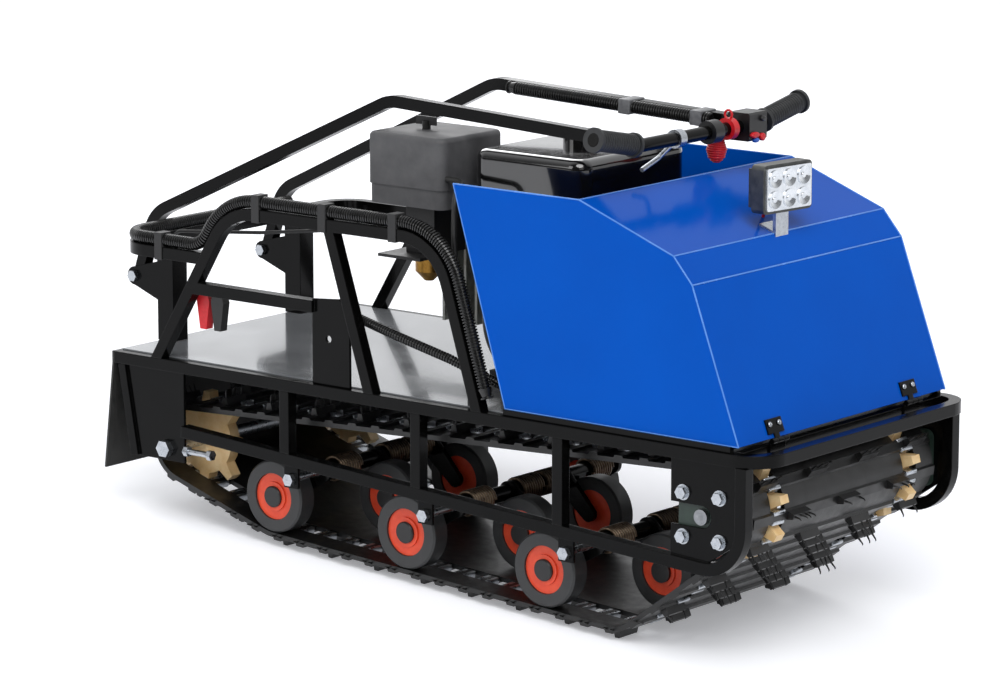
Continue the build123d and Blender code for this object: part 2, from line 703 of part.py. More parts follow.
post_half = REAR_POST / 2
post_rear = LOOP_REAR - post_half
with BuildPart() as rear_posts:
    post_y = (-REAR_POST_ROW - post_half, -REAR_POST_ROW + post_half)
    add(block((post_rear, LOOP_REAR + post_half), post_y, (DECK_TOP, LOOP_HEIGHT - TUBE / 2)))
    for y in (post_y[0] + PLATE, post_y[1]):
        with BuildSketch(side(y)):
            root = post_rear + PLATE
            (x, z) = HANDLE_PIVOT
            ear = ((x, z + EAR_RADIUS), (x, z - EAR_RADIUS))
            Polygon((root, EAR_ROOT[0]), (root, EAR_ROOT[1]), *ear, align=None)
            with Locations(HANDLE_PIVOT):
                Circle(EAR_RADIUS)
                Circle(HANDLE_BOLT / 2 + GAP, mode=Mode.SUBTRACT)
        extrude(amount=PLATE)
    mirror(about=Plane.XZ)

with BuildPart() as pivot_bolts:
    add(rod(*HANDLE_PIVOT, post_y, HANDLE_BOLT / 2))
    add(nut(*HANDLE_PIVOT, (post_y[0] - HANDLE_NUT_HEIGHT, post_y[0]), HANDLE_NUT))
    add(nut(*HANDLE_PIVOT, (post_y[1], post_y[1] + HANDLE_NUT_HEIGHT), HANDLE_NUT))
    mirror(about=Plane.XZ)

# Engine on the deck: crankcase, finned cylinder, starter housing, belt guard, tank, filter, silencer
with BuildPart() as engine_block:
    add(block(CASE_X, CASE_Y, (DECK_TOP, CASE_TOP)))
    fillet(engine_block.edges().filter_by(Axis.Y).group_by(Axis.Z)[-1], CASE_FILLET)
    add(block((CASE_X[0] - CASE_FOOT, CASE_X[1] + CASE_FOOT), CASE_Y, (DECK_TOP, DECK_TOP + CASE_FOOT)))
    stand_x = (CASE_X[0] + CASE_FILLET, CASE_X[1] - CASE_FILLET)
    add(block(stand_x, (-TANK_STAND, TANK_STAND), (CASE_TOP - CASE_FILLET, TANK_Z[0])))

with BuildPart() as cylinder_head:
    add(block((HEAD_X, CASE_X[0]), HEAD_Y, HEAD_Z))
    step = (CASE_X[0] - HEAD_X) / FIN_COUNT
    fin_y = (HEAD_Y[0] - FIN_REACH, HEAD_Y[1] + FIN_REACH)
    fin_z = (HEAD_Z[0] - FIN_REACH, HEAD_Z[1] + FIN_REACH)
    for i in range(FIN_COUNT):
        x = HEAD_X + step * i
        add(block((x, x + FIN), fin_y, fin_z))

with BuildPart() as starter_housing:
    inner = CASE_Y[0] - STARTER_DEPTH
    add(rod(*CRANK, (inner, CASE_Y[0]), STARTER_RADIUS))
    fillet(starter_housing.edges().group_by(Axis.Y)[0], CASE_FILLET)
    add(rod(*CRANK, (inner - STARTER_CUP_DEPTH, inner), STARTER_CUP))
    with BuildSketch(side(inner - STARTER_CUP_DEPTH / 2)):
        with Locations(CRANK):
            with PolarLocations(STARTER_CUP, STARTER_SLOTS):
                Rectangle(STARTER_CUP / 4, STARTER_CUP / 8)
    extrude(amount=-STARTER_CUP_DEPTH / 4, mode=Mode.SUBTRACT)

with BuildPart() as belt_guard:
    with BuildSketch(side(CASE_Y[1] + GUARD_DEPTH)):
        for place, radius in zip((CRANK, GUARD_FRONT), GUARD_RADII):
            with Locations(place):
                Circle(radius)
        make_hull()
    extrude(amount=GUARD_DEPTH)
    fillet(belt_guard.faces().sort_by(Axis.Y)[-1].edges(), GUARD_EDGE)

with BuildPart() as fuel_tank:
    add(block(TANK_X, TANK_Y, TANK_Z))
    fillet(fuel_tank.edges().filter_by(Axis.Z), TANK_CORNER)
    fillet(fuel_tank.faces().sort_by(Axis.Z)[-1].edges(), TANK_EDGE)
    with BuildSketch(Plane.XY.offset(TANK_Z[0])):
        with Locations((sum(TANK_X) / 2, sum(TANK_Y) / 2)):
            rim = (TANK_X[1] - TANK_X[0] + 4 * TANK_SEAM, TANK_Y[1] - TANK_Y[0] + 4 * TANK_SEAM)
            RectangleRounded(*rim, TANK_CORNER + 2 * TANK_SEAM)
    extrude(amount=TANK_SEAM)

with BuildPart() as tank_cap:
    with Locations((sum(TANK_X) / 2, sum(TANK_Y) / 2, TANK_Z[1] + TANK_CAP_HEIGHT / 2)):
        Cylinder(TANK_CAP, TANK_CAP_HEIGHT)

with BuildPart() as air_filter:
    add(block(FILTER_X, FILTER_Y, (FILTER_Z[0] + FILTER_TRAY, FILTER_Z[1])))
    fillet(air_filter.edges().filter_by(Axis.Z), FILTER_CORNER)
    fillet(air_filter.faces().sort_by(Axis.Z)[-1].edges(), FILTER_CORNER / 2)
    with BuildSketch(Plane.XY.offset(FILTER_Z[0])):
        with Locations((sum(FILTER_X) / 2, sum(FILTER_Y) / 2)):
            size = (FILTER_X[1] - FILTER_X[0] - FILTER_LIP, FILTER_Y[1] - FILTER_Y[0] - FILTER_LIP)
            RectangleRounded(*size, FILTER_CORNER)
    extrude(amount=FILTER_TRAY)

with BuildPart() as filter_knob:
    with Locations((*FILTER_KNOB, FILTER_Z[1] + KNOB_HEIGHT / 2)):
        Cylinder(KNOB_HEIGHT / 2, KNOB_HEIGHT)
        Box(3 * KNOB_HEIGHT, KNOB_HEIGHT / 4, KNOB_HEIGHT, align=(Align.CENTER, Align.CENTER, Align.MIN))

with BuildPart() as carburettor:
    (x, y) = CARBURETTOR
    bracket_top = BOWL_TOP + PLATE
    throat_y = (y - BOWL_RADIUS, HEAD_Y[0] - FIN_REACH)
    add(block((x - THROAT, x + THROAT), throat_y, (bracket_top, FILTER_Z[0])))
    bracket_y = (y - 2 * THROAT, y + BOWL_RADIUS)
    add(block((x - 2 * THROAT, x + THROAT), bracket_y, (BOWL_TOP, bracket_top)))

with BuildPart() as float_bowl:
    with BuildSketch(Plane.XZ.offset(-y)):
        with BuildLine():
            rim = x + BOWL_RADIUS
            shoulder = BOWL_TOP - BOWL_DEPTH
            tip = ((x + BOWL_RADIUS / 3, shoulder - BOWL_TIP), (x, shoulder - BOWL_TIP))
            Polyline((x, BOWL_TOP), (rim, BOWL_TOP), (rim, shoulder), *tip, close=True)
        make_face()
    revolve(axis=Axis((x, y, 0), (0, 0, 1)))

with BuildPart() as silencer:
    base = fin_z[1]
    muffler_x = (HEAD_X, HEAD_X + SILENCER_SIZE[0])
    muffler_y = (FILTER_Y[1] + 2 * THROAT, FILTER_Y[1] + 2 * THROAT + SILENCER_SIZE[1])
    add(block(muffler_x, muffler_y, (base, base + SILENCER_SIZE[2])))
    fillet(silencer.edges().filter_by(Axis.Y), SILENCER_FILLET)

# Hood: a folded sheet open above, below and behind, on seat strips along the rails
with BuildPart() as hood:
    with BuildSketch(side(HOOD_WIDTH / 2)):
        Polygon(*HOOD_SIDE, align=None)
    extrude(amount=HOOD_WIDTH)
    top = hood.faces().sort_by(Axis.Z)[-1]
    bottom = hood.faces().sort_by(Axis.Z)[0]
    rear = hood.faces().sort_by(Axis.X)[0]
    offset(amount=-HOOD_SHEET, openings=[top, bottom, rear])

with BuildPart() as hood_seats:
    edge = HOOD_WIDTH / 2 + SEAT_WIDTH / 2
    add(block((HOOD_SIDE[-1][0], SEAT_FRONT), (-edge, SEAT_WIDTH - edge), (RAIL_TOP, -GAP)))
    mirror(about=Plane.XZ)

lean = atan2(-HOOD_SIDE[1][0], HOOD_SIDE[1][1])
front_run = Vector(-sin(lean), cos(lean))
front_out = Vector(cos(lean), sin(lean))
knuckle = HINGE_WIDTH / 3 - HINGE_SIDE
with BuildPart() as hinge_bases:
    for y in (-HINGE_ROW, HINGE_ROW):
        ends = (y - HINGE_WIDTH / 2, y + HINGE_WIDTH / 2)
        leaf_top = HINGE_AXIS[1] - HINGE_KNUCKLE - 2 * HINGE_PLAY
        add(block((0, HINGE_BASE), ends, (RAIL_BOTTOM, leaf_top)))
        for end in (ends[0], ends[1] - knuckle):
            add(rod(*HINGE_AXIS, (end, end + knuckle), HINGE_KNUCKLE))
            add(block((0, HINGE_BASE), (end, end + knuckle), (RAIL_BOTTOM, HINGE_AXIS[1])))
        add(rod(*HINGE_AXIS, ends, HINGE_PIN))

with BuildPart() as hood_hinges:
    for y in (-HINGE_ROW, HINGE_ROW):
        tip = front_run * HINGE_LEAF_LENGTH
        thick = front_out * HINGE_LEAF
        start = front_run * -HINGE_PIN
        with BuildSketch(side(y + knuckle / 2)):
            Polygon(start, tip, tip + thick, start + thick, align=None)
            with Locations(HINGE_AXIS):
                Circle(HINGE_KNUCKLE)
        extrude(amount=knuckle)
        with BuildSketch(side(y + HINGE_WIDTH / 2)):
            start = front_run * (HINGE_KNUCKLE + HINGE_PIN)
            Polygon(start, tip, tip + thick, start + thick, align=None)
        extrude(amount=HINGE_WIDTH)
        bore = rod(*HINGE_AXIS, (y - HINGE_WIDTH, y + HINGE_WIDTH), HINGE_PIN + HINGE_PLAY)
        add(bore, mode=Mode.SUBTRACT)
    add(hood.part, mode=Mode.SUBTRACT)

# Work lamp above the hood's upper crease, on a bent foot
facing = Vector(cos(radians(LAMP_TURN)), sin(radians(LAMP_TURN)), 0)
lamp_plane = Plane(origin=LAMP, x_dir=(-facing.Y, facing.X, 0), z_dir=facing)
with BuildPart() as lamp_housing:
    with BuildSketch(lamp_plane):
        RectangleRounded(LAMP_WIDTH, LAMP_HEIGHT, LAMP_CORNER)
    extrude(amount=-LAMP_DEPTH)
    with BuildSketch(lamp_plane.offset(-LAMP_DEPTH)):
        with GridLocations(LAMP_FIN_PITCH, 0, LAMP_FINS, 1):
            Rectangle(LAMP_FIN, LAMP_HEIGHT - 2 * LAMP_CORNER)
    extrude(amount=-LAMP_FIN_DEPTH)

with BuildPart() as lamp_lens:
    with BuildSketch(lamp_plane):
        RectangleRounded(LAMP_WIDTH - 2 * LENS_BORDER, LAMP_HEIGHT - 2 * LENS_BORDER, LAMP_CORNER / 2)
    extrude(amount=LENS_DEPTH)
    with BuildSketch(lamp_plane.offset(LENS_DEPTH)):
        with GridLocations(LED_PITCH, LED_PITCH, 3, 2):
            Circle(LED_RADIUS)
    extrude(amount=-LENS_DEPTH / 2, taper=-LED_TAPER, mode=Mode.SUBTRACT)

crease, brow = HOOD_SIDE[2], HOOD_SIDE[3]
with BuildPart() as lamp_bracket:
    lamp_bottom = LAMP[2] - LAMP_HEIGHT / 2
    middle = LAMP[0] - LAMP_DEPTH / 2
    foot_y = (LAMP[1] - FOOT_WIDTH / 2, LAMP[1] + FOOT_WIDTH / 2)
    add(block((middle - FOOT_SHEET, middle + FOOT_SHEET), foot_y, (crease[1] - TUBE, lamp_bottom)))
    slope = (Vector(*brow) - Vector(*crease)).normalized()
    normal = Vector(slope.Y, -slope.X)
    with BuildSketch(side(foot_y[1])):
        start = Vector(*crease)
        end = start + slope * FOOT_LENGTH
        Polygon(start, end, end + normal * FOOT_SHEET, start + normal * FOOT_SHEET, align=None)
    extrude(amount=FOOT_WIDTH)
    with BuildSketch(side(HOOD_WIDTH / 2)):
        Polygon(*HOOD_SIDE, align=None)
    extrude(amount=HOOD_WIDTH, mode=Mode.SUBTRACT)

# Folding handle: two arms of square tube and a raised round bar across them
with BuildPart() as handle_frame:
    arm = [
        (HANDLE_PIVOT[0], -REAR_POST_ROW, HANDLE_PIVOT[1]),
        (HANDLE_ELBOW[0], -REAR_POST_ROW, HANDLE_ELBOW[1]),
        (HANDLE_KNEE[0], -KNEE_ROW, HANDLE_KNEE[1]), (HANDLE_BAR[0], -BAR_ROW, HANDLE_BAR[1]),
    ]
    add(tube(arm, HANDLE_BEND, HANDLE_TUBE, (0, 1, 0)))
    boss = post_half - PLATE - HINGE_SIDE
    add(rod(*HANDLE_PIVOT, (-REAR_POST_ROW - boss, -REAR_POST_ROW + boss), HANDLE_BOSS / 2))
    bore = rod(*HANDLE_PIVOT, (-REAR_POST_ROW - post_half, 0), HANDLE_BOLT / 2 + HINGE_PLAY)
    add(bore, mode=Mode.SUBTRACT)
    mirror(about=Plane.XZ)
    bar = [(-BAR_END, BAR_RISE), (-BAR_CORNER, 0), (BAR_CORNER, 0), (BAR_END, BAR_RISE)]
    bar = [(HANDLE_BAR[0], y, HANDLE_BAR[1] + rise) for y, rise in bar]
    add(tube(bar, HANDLE_BEND, BAR_TUBE, (1, 0, 0), is_round=True))

rise = atan2(BAR_RISE, GRIP_LENGTH)
grip_run = Vector(0, cos(rise), sin(rise))
grip_start = Vector(*bar[2]) + grip_run * GRIP_FLANGE_WIDTH * 2
with BuildPart() as grips:
    with BuildSketch(Plane(origin=grip_start, x_dir=(1, 0, 0), z_dir=grip_run)):
        Circle(GRIP / 2)
    extrude(amount=GRIP_LENGTH / cos(rise) - GRIP_FLANGE_WIDTH * 2)
    for place in (0, GRIP_LENGTH / cos(rise) - GRIP_FLANGE_WIDTH * 3):
        with BuildSketch(Plane(origin=grip_start + grip_run * place, x_dir=(1, 0, 0), z_dir=grip_run)):
            Circle(GRIP_FLANGE / 2)
        extrude(amount=GRIP_FLANGE_WIDTH)
    mirror(about=Plane.XZ)
    add(handle_frame.part, mode=Mode.SUBTRACT)

with BuildPart() as switch_block:
    (x, z) = HANDLE_BAR
    switch_x = (x - SWITCH_DEPTH / 2, x + SWITCH_DEPTH / 2)
    switch_z = (z - SWITCH_HEIGHT / 2, z + SWITCH_HEIGHT / 2)
    add(block(switch_x, (SWITCH_RIGHT, SWITCH_LEFT), switch_z))
    chamfer(switch_block.edges().filter_by(Axis.Y), TYRE_CHAMFER)
    add(handle_frame.part, mode=Mode.SUBTRACT)

# Safety lanyard: a ring on the bar, its cord wound to a bulb below and a clip ring above
with BuildPart() as lanyard:
    (x, z) = HANDLE_BAR
    bulb, bulb_top = x - LANYARD_BACK, z - LANYARD_DROP
    with BuildSketch(side(LANYARD_ROW + LANYARD / 2)):
        with Locations((x, z)):
            Circle(BAR_TUBE / 2 + LANYARD / 2)
            Circle(BAR_TUBE / 2 + GAP, mode=Mode.SUBTRACT)
    extrude(amount=LANYARD)
    with BuildSketch(Plane.XZ.offset(-LANYARD_ROW)):
        with BuildLine():
            Polyline((bulb, bulb_top), *[(bulb + r, bulb_top - drop) for r, drop in LANYARD_BODY], close=True)
        make_face()
    revolve(axis=Axis((bulb, LANYARD_ROW, 0), (0, 0, 1)))
    with Locations((bulb + LANYARD_LINK[0], LANYARD_ROW, bulb_top)):
        Cylinder(*LANYARD_LINK)
    ring_height = z + BAR_TUBE / 2 + LANYARD / 2 + CLIP_RING[0] - CLIP_RING[1]
    with Locations(Location((x, LANYARD_ROW, ring_height), (90, 0, 0))):
        Torus(*CLIP_RING)

with BuildPart() as bar_clamp:
    add(rod(*HANDLE_BAR, (CLAMP_LEFT - CLAMP_WIDTH, CLAMP_LEFT), CLAMP_RADIUS))
    add(handle_frame.part, mode=Mode.SUBTRACT)

# Throttle lever: a clamp on the bar and a bent rod below it
with BuildPart() as throttle_lever:
    (x, z) = HANDLE_BAR
    add(rod(x, z, (LEVER_ROW - LEVER, LEVER_ROW + LEVER), BAR_TUBE / 2 + LEVER / 2))
    bent = [(x - BAR_TUBE / 2, LEVER_ROW, z - BAR_TUBE / 2)]
    bent += [(x - LEVER_BACK, LEVER_ROW - step, z - drop) for step, drop in LEVER_STEPS]
    add(tube(bent, LEVER_BEND, LEVER, (1, 0, 0), is_round=True))
    add(rod(x, z, (LEVER_ROW - TUBE, LEVER_ROW + TUBE), BAR_TUBE / 2 + GAP), mode=Mode.SUBTRACT)

# Conduit over the right hoop and round the rear loop, with its straps
with BuildPart() as frame_conduit:
    lift = CONDUIT_LIFT
    loop_top = LOOP_HEIGHT + lift
    foot = (along(front_leg, DECK_TOP), DECK_TOP)
    front_corner = pushed_out(foot, HOOP[2], HOOP[1], -lift)
    rear_corner = pushed_out(HOOP[2], HOOP[1], HOOP[0], -lift)
    leg_run = Vector(*HOOP[2]) - Vector(*HOOP[3])
    lower_end = front_corner - leg_run * ((front_corner.Y - RAIL_TOP - lift) / leg_run.Y)
    rear_run = Vector(*HOOP[1]) - Vector(*HOOP[0])
    turn = rear_corner.X - rear_run.X * (rear_corner.Y - loop_top) / rear_run.Y
    route = [
        (lower_end.X, -RAIL_ROW, lower_end.Y), (front_corner.X, -RAIL_ROW, front_corner.Y),
        (rear_corner.X, -RAIL_ROW, rear_corner.Y), (turn, -RAIL_ROW, loop_top),
        (LOOP_REAR, -RAIL_ROW, loop_top), (LOOP_REAR, CONDUIT_END, loop_top),
    ]
    room = (rear_corner - Vector(turn, loop_top)).length
    half_turn = tan(atan2(rear_run.Y, rear_run.X) / 2)
    rear_bend = min(HOOP_BEND + lift, (room - GAP) / half_turn - TURN_BEND)
    bends = [HOOP_BEND + lift, rear_bend, TURN_BEND, LOOP_CORNER]
    add(tube(route, bends, CONDUIT, (0, 1, 0), is_round=True))

with BuildPart() as conduit_straps:
    width = TUBE / 2 + STRAP_SHEET
    top = HOOP[1][1] + lift + CONDUIT / 2 + STRAP_SHEET
    for x in STRAP_PLACES:
        strap_y = (-RAIL_ROW - width, -RAIL_ROW + width)
        add(block((x, x + STRAP), strap_y, (HOOP[1][1] - width, top)))
    strap_z = (LOOP_HEIGHT - width, LOOP_HEIGHT + top - HOOP[1][1])
    add(block((LOOP_STRAP, LOOP_STRAP + STRAP), strap_y, strap_z))
    for held in (hoops, rear_loop, frame_conduit):
        add(held.part, mode=Mode.SUBTRACT)

# Conduit taped along the inner side of the handle's left arm
with BuildPart() as arm_conduit:
    lift = (HANDLE_TUBE + CONDUIT) / 2 + GAP
    knee = Vector(HANDLE_KNEE[0], KNEE_ROW, HANDLE_KNEE[1])
    bar_foot = Vector(HANDLE_BAR[0], BAR_ROW, HANDLE_BAR[1])
    run = bar_foot - knee
    ends = [knee + run * share - Vector(0, lift, 0) for share in ARM_CONDUIT]
    add(tube(ends, 0, CONDUIT, (0, 1, 0), is_round=True))

# Hose beside the hood's rear edge, vented hose over the deck and the control cable
with BuildPart() as fuel_hose:
    add(tube(HOSE_ROUTE, HOSE_BEND, HOSE, (0, 0, 1), is_round=True))

with BuildPart() as vent_hose:
    add(tube(VENT_ROUTE, VENT_BEND, VENT_HOSE, (0, 1, 0), is_round=True))

with BuildPart() as control_cable:
    add(tube(CABLE_ROUTE, CABLE_BEND, CABLE, (0, 0, 1), is_round=True))

# Battery clamps hung inside the right brace, and the lamp's wire into the hood
battery_clamps = []
for x in CLIP_PLACES:
    with BuildPart() as battery_clamp:
        inner = -RAIL_INSIDE + GAP
        with BuildSketch(side(inner + CLIP_THICK)):
            head, jaw = CLIP_WIDTHS[0] / 2, CLIP_WIDTHS[1] / 2
            top, neck, foot = CLIP_HEIGHTS
            Polygon((x - jaw, foot), (x + jaw, foot), (x + head, neck), (x + jaw, top), (x - jaw, top),
                    (x - head, neck), align=None)
        extrude(amount=CLIP_THICK)
    battery_clamps.append(battery_clamp)

with BuildPart() as lamp_wire:
    climb = (brow[1] - crease[1]) / (crease[0] - brow[0])
    run = [
        lamp_plane.from_local_coords((LAMP_FIN_PITCH / 2, -WIRE_DROP, -LAMP_DEPTH - reach))
        for reach in (GAP, *WIRE_REACH)
    ]
    run[2].Z = crease[1] + (crease[0] - run[2].X) * climb + WIRE / 4
    add(tube(run, WIRE_BEND, WIRE, (0, 1, 0), is_round=True))

pieces = {
    "upper_frame": upper_frame, "cross_members": cross_members, "side_frames": side_frames, "posts": posts,
    "deck": deck, "mud_flap": mud_flap, "bearings": bearings, "bearing_bolts": bearing_bolts,
    "front_shaft": front_shaft, "rear_shaft": rear_shaft, "tensioners": tensioners, "track": track,
    "front_sprockets": front_sprockets, "rear_sprockets": rear_sprockets, "pivot_rods": pivot_rods,
    "swing_arms": swing_arms, "torsion_springs": torsion_springs, "roller_tyres": roller_tyres,
    "roller_discs": roller_discs, "roller_caps": roller_caps, "hoops": hoops, "rear_loop": rear_loop,
    "rear_posts": rear_posts, "pivot_bolts": pivot_bolts, "engine_block": engine_block,
    "cylinder_head": cylinder_head, "starter_housing": starter_housing, "belt_guard": belt_guard,
    "fuel_tank": fuel_tank, "tank_cap": tank_cap, "air_filter": air_filter, "filter_knob": filter_knob,
    "carburettor": carburettor, "float_bowl": float_bowl, "silencer": silencer,
    "frame_conduit": frame_conduit, "conduit_straps": conduit_straps, "fuel_hose": fuel_hose,
    "vent_hose": vent_hose,
    "control_cable": control_cable, "hood_seats": hood_seats, "hinge_bases": hinge_bases, "hood": hood,
    "hood_hinges": hood_hinges, "lamp_housing": lamp_housing, "lamp_lens": lamp_lens,
    "lamp_bracket": lamp_bracket, "handle_frame": handle_frame, "grips": grips,
    "switch_block": switch_block,
    "lanyard": lanyard, "bar_clamp": bar_clamp, "throttle_lever": throttle_lever,
    "arm_conduit": arm_conduit, "red_clamp": battery_clamps[0], "black_clamp": battery_clamps[1],
    "lamp_wire": lamp_wire,
}

# Stand the machine on its track, with the origin on the ground below the middle of its outline
tipped = Location((0, 0, 0), (0, -NOSE_UP, 0))
outline = Compound(children=[tipped * piece.part for piece in pieces.values()]).bounding_box()
stand = Pos(-outline.center().X, -outline.center().Y, -outline.min.Z) * tipped
print("Stand shift", stand.position)

os.makedirs("parts", exist_ok=True)
for name, piece in pieces.items():
    standing = stand * piece.part
    standing.label = name
    export_step(standing, f"parts/{name}.step")
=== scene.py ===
# %% [markdown]
# # A tracked snow tug
# The machine arrives as finished solids, already standing on the ground. This lesson dresses them:
# every solid gets a finish made of shader nodes, and the small pieces that a drawing office leaves
# out, such as coil springs, clips and screws, are modelled here and set on what carries them.

# %% Load the solids
import json
from math import pi, radians, sin, tan

import bpy
from mathutils import Matrix, Vector


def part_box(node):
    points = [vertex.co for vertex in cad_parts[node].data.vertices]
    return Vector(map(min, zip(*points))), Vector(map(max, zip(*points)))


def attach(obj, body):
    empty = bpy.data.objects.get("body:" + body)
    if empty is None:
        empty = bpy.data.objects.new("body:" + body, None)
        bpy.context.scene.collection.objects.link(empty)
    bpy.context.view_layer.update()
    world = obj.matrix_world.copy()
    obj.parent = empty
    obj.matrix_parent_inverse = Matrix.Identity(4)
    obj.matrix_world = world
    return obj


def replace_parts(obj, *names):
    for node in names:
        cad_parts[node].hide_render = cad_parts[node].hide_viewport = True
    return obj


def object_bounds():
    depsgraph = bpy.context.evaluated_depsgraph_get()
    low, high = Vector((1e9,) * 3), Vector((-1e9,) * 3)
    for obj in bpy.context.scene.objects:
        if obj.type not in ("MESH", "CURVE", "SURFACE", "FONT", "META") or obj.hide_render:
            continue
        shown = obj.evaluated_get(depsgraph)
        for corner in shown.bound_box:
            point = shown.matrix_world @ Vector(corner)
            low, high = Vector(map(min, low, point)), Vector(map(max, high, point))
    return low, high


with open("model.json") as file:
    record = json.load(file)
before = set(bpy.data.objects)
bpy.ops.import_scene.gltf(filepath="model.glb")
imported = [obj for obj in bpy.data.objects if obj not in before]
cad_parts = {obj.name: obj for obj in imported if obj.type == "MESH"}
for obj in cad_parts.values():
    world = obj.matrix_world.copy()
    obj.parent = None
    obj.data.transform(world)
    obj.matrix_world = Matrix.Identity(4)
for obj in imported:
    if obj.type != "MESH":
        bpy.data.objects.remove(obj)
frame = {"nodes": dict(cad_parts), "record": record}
solid_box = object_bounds()
print("Solids:", len(frame["nodes"]), "box", [round(v, 3) for corner in solid_box for v in corner])

# %% [markdown]
# ## The level machine and the ground
# The maker's drawing is level, with its zero at the lower front edge of the hood, and the machine
# stands nose up by a few degrees. New pieces are easier to place on the level drawing, in
# millimetres, so one matrix carries them to the ground when they are done.

# %% From the level drawing to the ground
MM = 0.001
NOSE_UP = 3.57
HOOD_FOOT = (0.663846, 0.0, 0.374204)
STAND = Matrix.Translation(HOOD_FOOT) @ Matrix.Rotation(radians(-NOSE_UP), 4, "Y")
print("Hood's lower front edge stands at", [round(v, 3) for v in STAND.translation])

# %% [markdown]
# ## Camera
# The picture was taken with a long lens from the front right, a little above the deck. The camera
# leans with the machine, so its axes are written down and made into a matrix.

# %% Camera
LENS = 163.07
SENSOR = 36.0
FAR_CLIP = 60.0
CAMERA_PLACE = (4.5248, -5.7793, 2.1153)
CAMERA_AHEAD = (-0.6025, 0.7636, -0.2321)
CAMERA_ACROSS = (0.7769, 0.6278, 0.0485)
camera_data = bpy.data.cameras.new("studio_camera")
camera_data.lens = LENS
camera_data.sensor_width = SENSOR
camera_data.clip_end = FAR_CLIP
camera = bpy.data.objects.new("studio_camera", camera_data)
bpy.context.scene.collection.objects.link(camera)
ahead = Vector(CAMERA_AHEAD).normalized()
across = Vector(CAMERA_ACROSS)
across = (across - ahead * across.dot(ahead)).normalized()
turn = Matrix((across, across.cross(ahead), -ahead)).transposed().to_4x4()
camera.matrix_world = Matrix.Translation(CAMERA_PLACE) @ turn
bpy.context.scene.camera = camera
print("Camera distance", round(camera.matrix_world.translation.length, 2), "m")

# %% [markdown]
# ## Finishes
# A finish starts from the real material: a common name, two close colours that drift into each
# other, a grain with a size and a depth in millimetres, and a range of roughness. Colours are written
# as on a paint card and turned to linear light by one function. Another adds a node, sets it and links
# it.


# %% Colour and node helpers
def linear(code):
    """A paint card's sRGB hex colour as linear light."""
    parts = [int(code[i : i + 2], 16) / 255 for i in (1, 3, 5)]
    return tuple(p / 12.92 if p <= 0.04045 else ((p + 0.055) / 1.055) ** 2.4 for p in parts) + (1.0,)


def add_node(tree, kind, settings, links=()):
    """One shader node with its settings, and links from other nodes' outputs."""
    node = tree.nodes.new(kind)
    for name, value in settings.items():
        if isinstance(name, int) or name in node.inputs:
            node.inputs[name].default_value = value
        else:
            setattr(node, name, value)
    for name, source in dict(links).items():
        tree.links.new(source, node.inputs[name])
    return node


DRIFT_STOPS = (0.3, 0.72)
DRIFT_SPAN = {"From Min": 0.3, "From Max": 0.7}
EDGE_SAMPLES = 6
finishes = {}


def finish(name, colours, drift_mm, grain_mm, depth_mm, rough, sockets, edge_mm=0.0):
    """A finish with drifting colour and roughness, a grain for its bump, and edges rounded by a radius."""
    material = bpy.data.materials.new(name)
    material.use_nodes = True
    tree = material.node_tree
    tree.nodes.clear()
    place = add_node(tree, "ShaderNodeTexCoord", {})
    drift = add_node(
        tree, "ShaderNodeTexNoise", {"Scale": 1 / (drift_mm * MM), "Detail": 6.0, "Roughness": 0.6},
        {"Vector": place.outputs["Object"]},
    )
    colour = add_node(tree, "ShaderNodeValToRGB", {}, {"Fac": drift.outputs["Fac"]})
    for stop, position, code in zip(colour.color_ramp.elements, DRIFT_STOPS, colours):
        stop.position = position
        stop.color = linear(code)
    grain = add_node(
        tree, "ShaderNodeTexNoise", {"Scale": 1 / (grain_mm * MM), "Detail": 3.0},
        {"Vector": place.outputs["Object"]},
    )
    roughness = add_node(
        tree, "ShaderNodeMapRange", {**DRIFT_SPAN, "To Min": rough[0], "To Max": rough[1]},
        {"Value": drift.outputs["Fac"]},
    )
    bump = add_node(
        tree, "ShaderNodeBump", {"Strength": 1.0, "Distance": depth_mm * MM},
        {"Height": grain.outputs["Fac"]},
    )
    if edge_mm:
        edge = add_node(tree, "ShaderNodeBevel", {"samples": EDGE_SAMPLES, "Radius": edge_mm * MM})
        tree.links.new(edge.outputs["Normal"], bump.inputs["Normal"])
    shader = add_node(
        tree, "ShaderNodeBsdfPrincipled", sockets,
        {"Base Color": colour.outputs["Color"], "Roughness": roughness.outputs["Result"],
         "Normal": bump.outputs["Normal"]},
    )
    add_node(tree, "ShaderNodeOutputMaterial", {}, {"Surface": shader.outputs["BSDF"]})
    finishes[name] = material


# %% [markdown]
# Powder coat is sprayed dry and melted on, which leaves a faint orange peel a millimetre or two
# across under a gloss. The frame is black and its sharp edges are rounded by the shader. The hood is
# blue, with a paler blue on its folds as a painted highlight, and the deck is a harder grey, partly
# painted reflection of the white studio, that mirrors what stands on it.

# %% Painted metal
finish("black_powder_coat", ("#040404", "#080808"), 60, 1.6, 0.015, (0.14, 0.22),
       {"IOR": 1.5, "Specular IOR Level": 0.1, "Coat Weight": 0.05, "Coat Roughness": 0.06}, edge_mm=2.5)
finish("blue_powder_coat", ("#004DB2", "#0052BA"), 260, 2.2, 0.008, (0.1, 0.16),
       {"IOR": 1.3, "Specular IOR Level": 0.1})
# Painted highlight: a paler blue for the beads along the hood's folds and edges.
finish("blue_painted_edge_highlight", ("#3C78CC", "#5A92E0"), 80, 1.4, 0.01, (0.2, 0.3), {"IOR": 1.5})
# The deck's pale grey is partly its own colour and partly painted reflection of the white studio.
finish("deck_grey_and_painted_reflection", ("#8C8F93", "#A3A6AA"), 140, 2.5, 0.01, (0.1, 0.22),
       {"IOR": 1.5, "Metallic": 0.35, "Coat Weight": 0.6, "Coat Roughness": 0.06})
finish("black_tank_enamel", ("#060606", "#0D0D0E"), 90, 2.0, 0.008, (0.08, 0.16),
       {"IOR": 1.5, "Coat Weight": 1.0, "Coat Roughness": 0.04})
finish("green_bearing_paint", ("#1C2A24", "#2B3B33"), 14, 1.2, 0.04, (0.4, 0.55), {"IOR": 1.5})
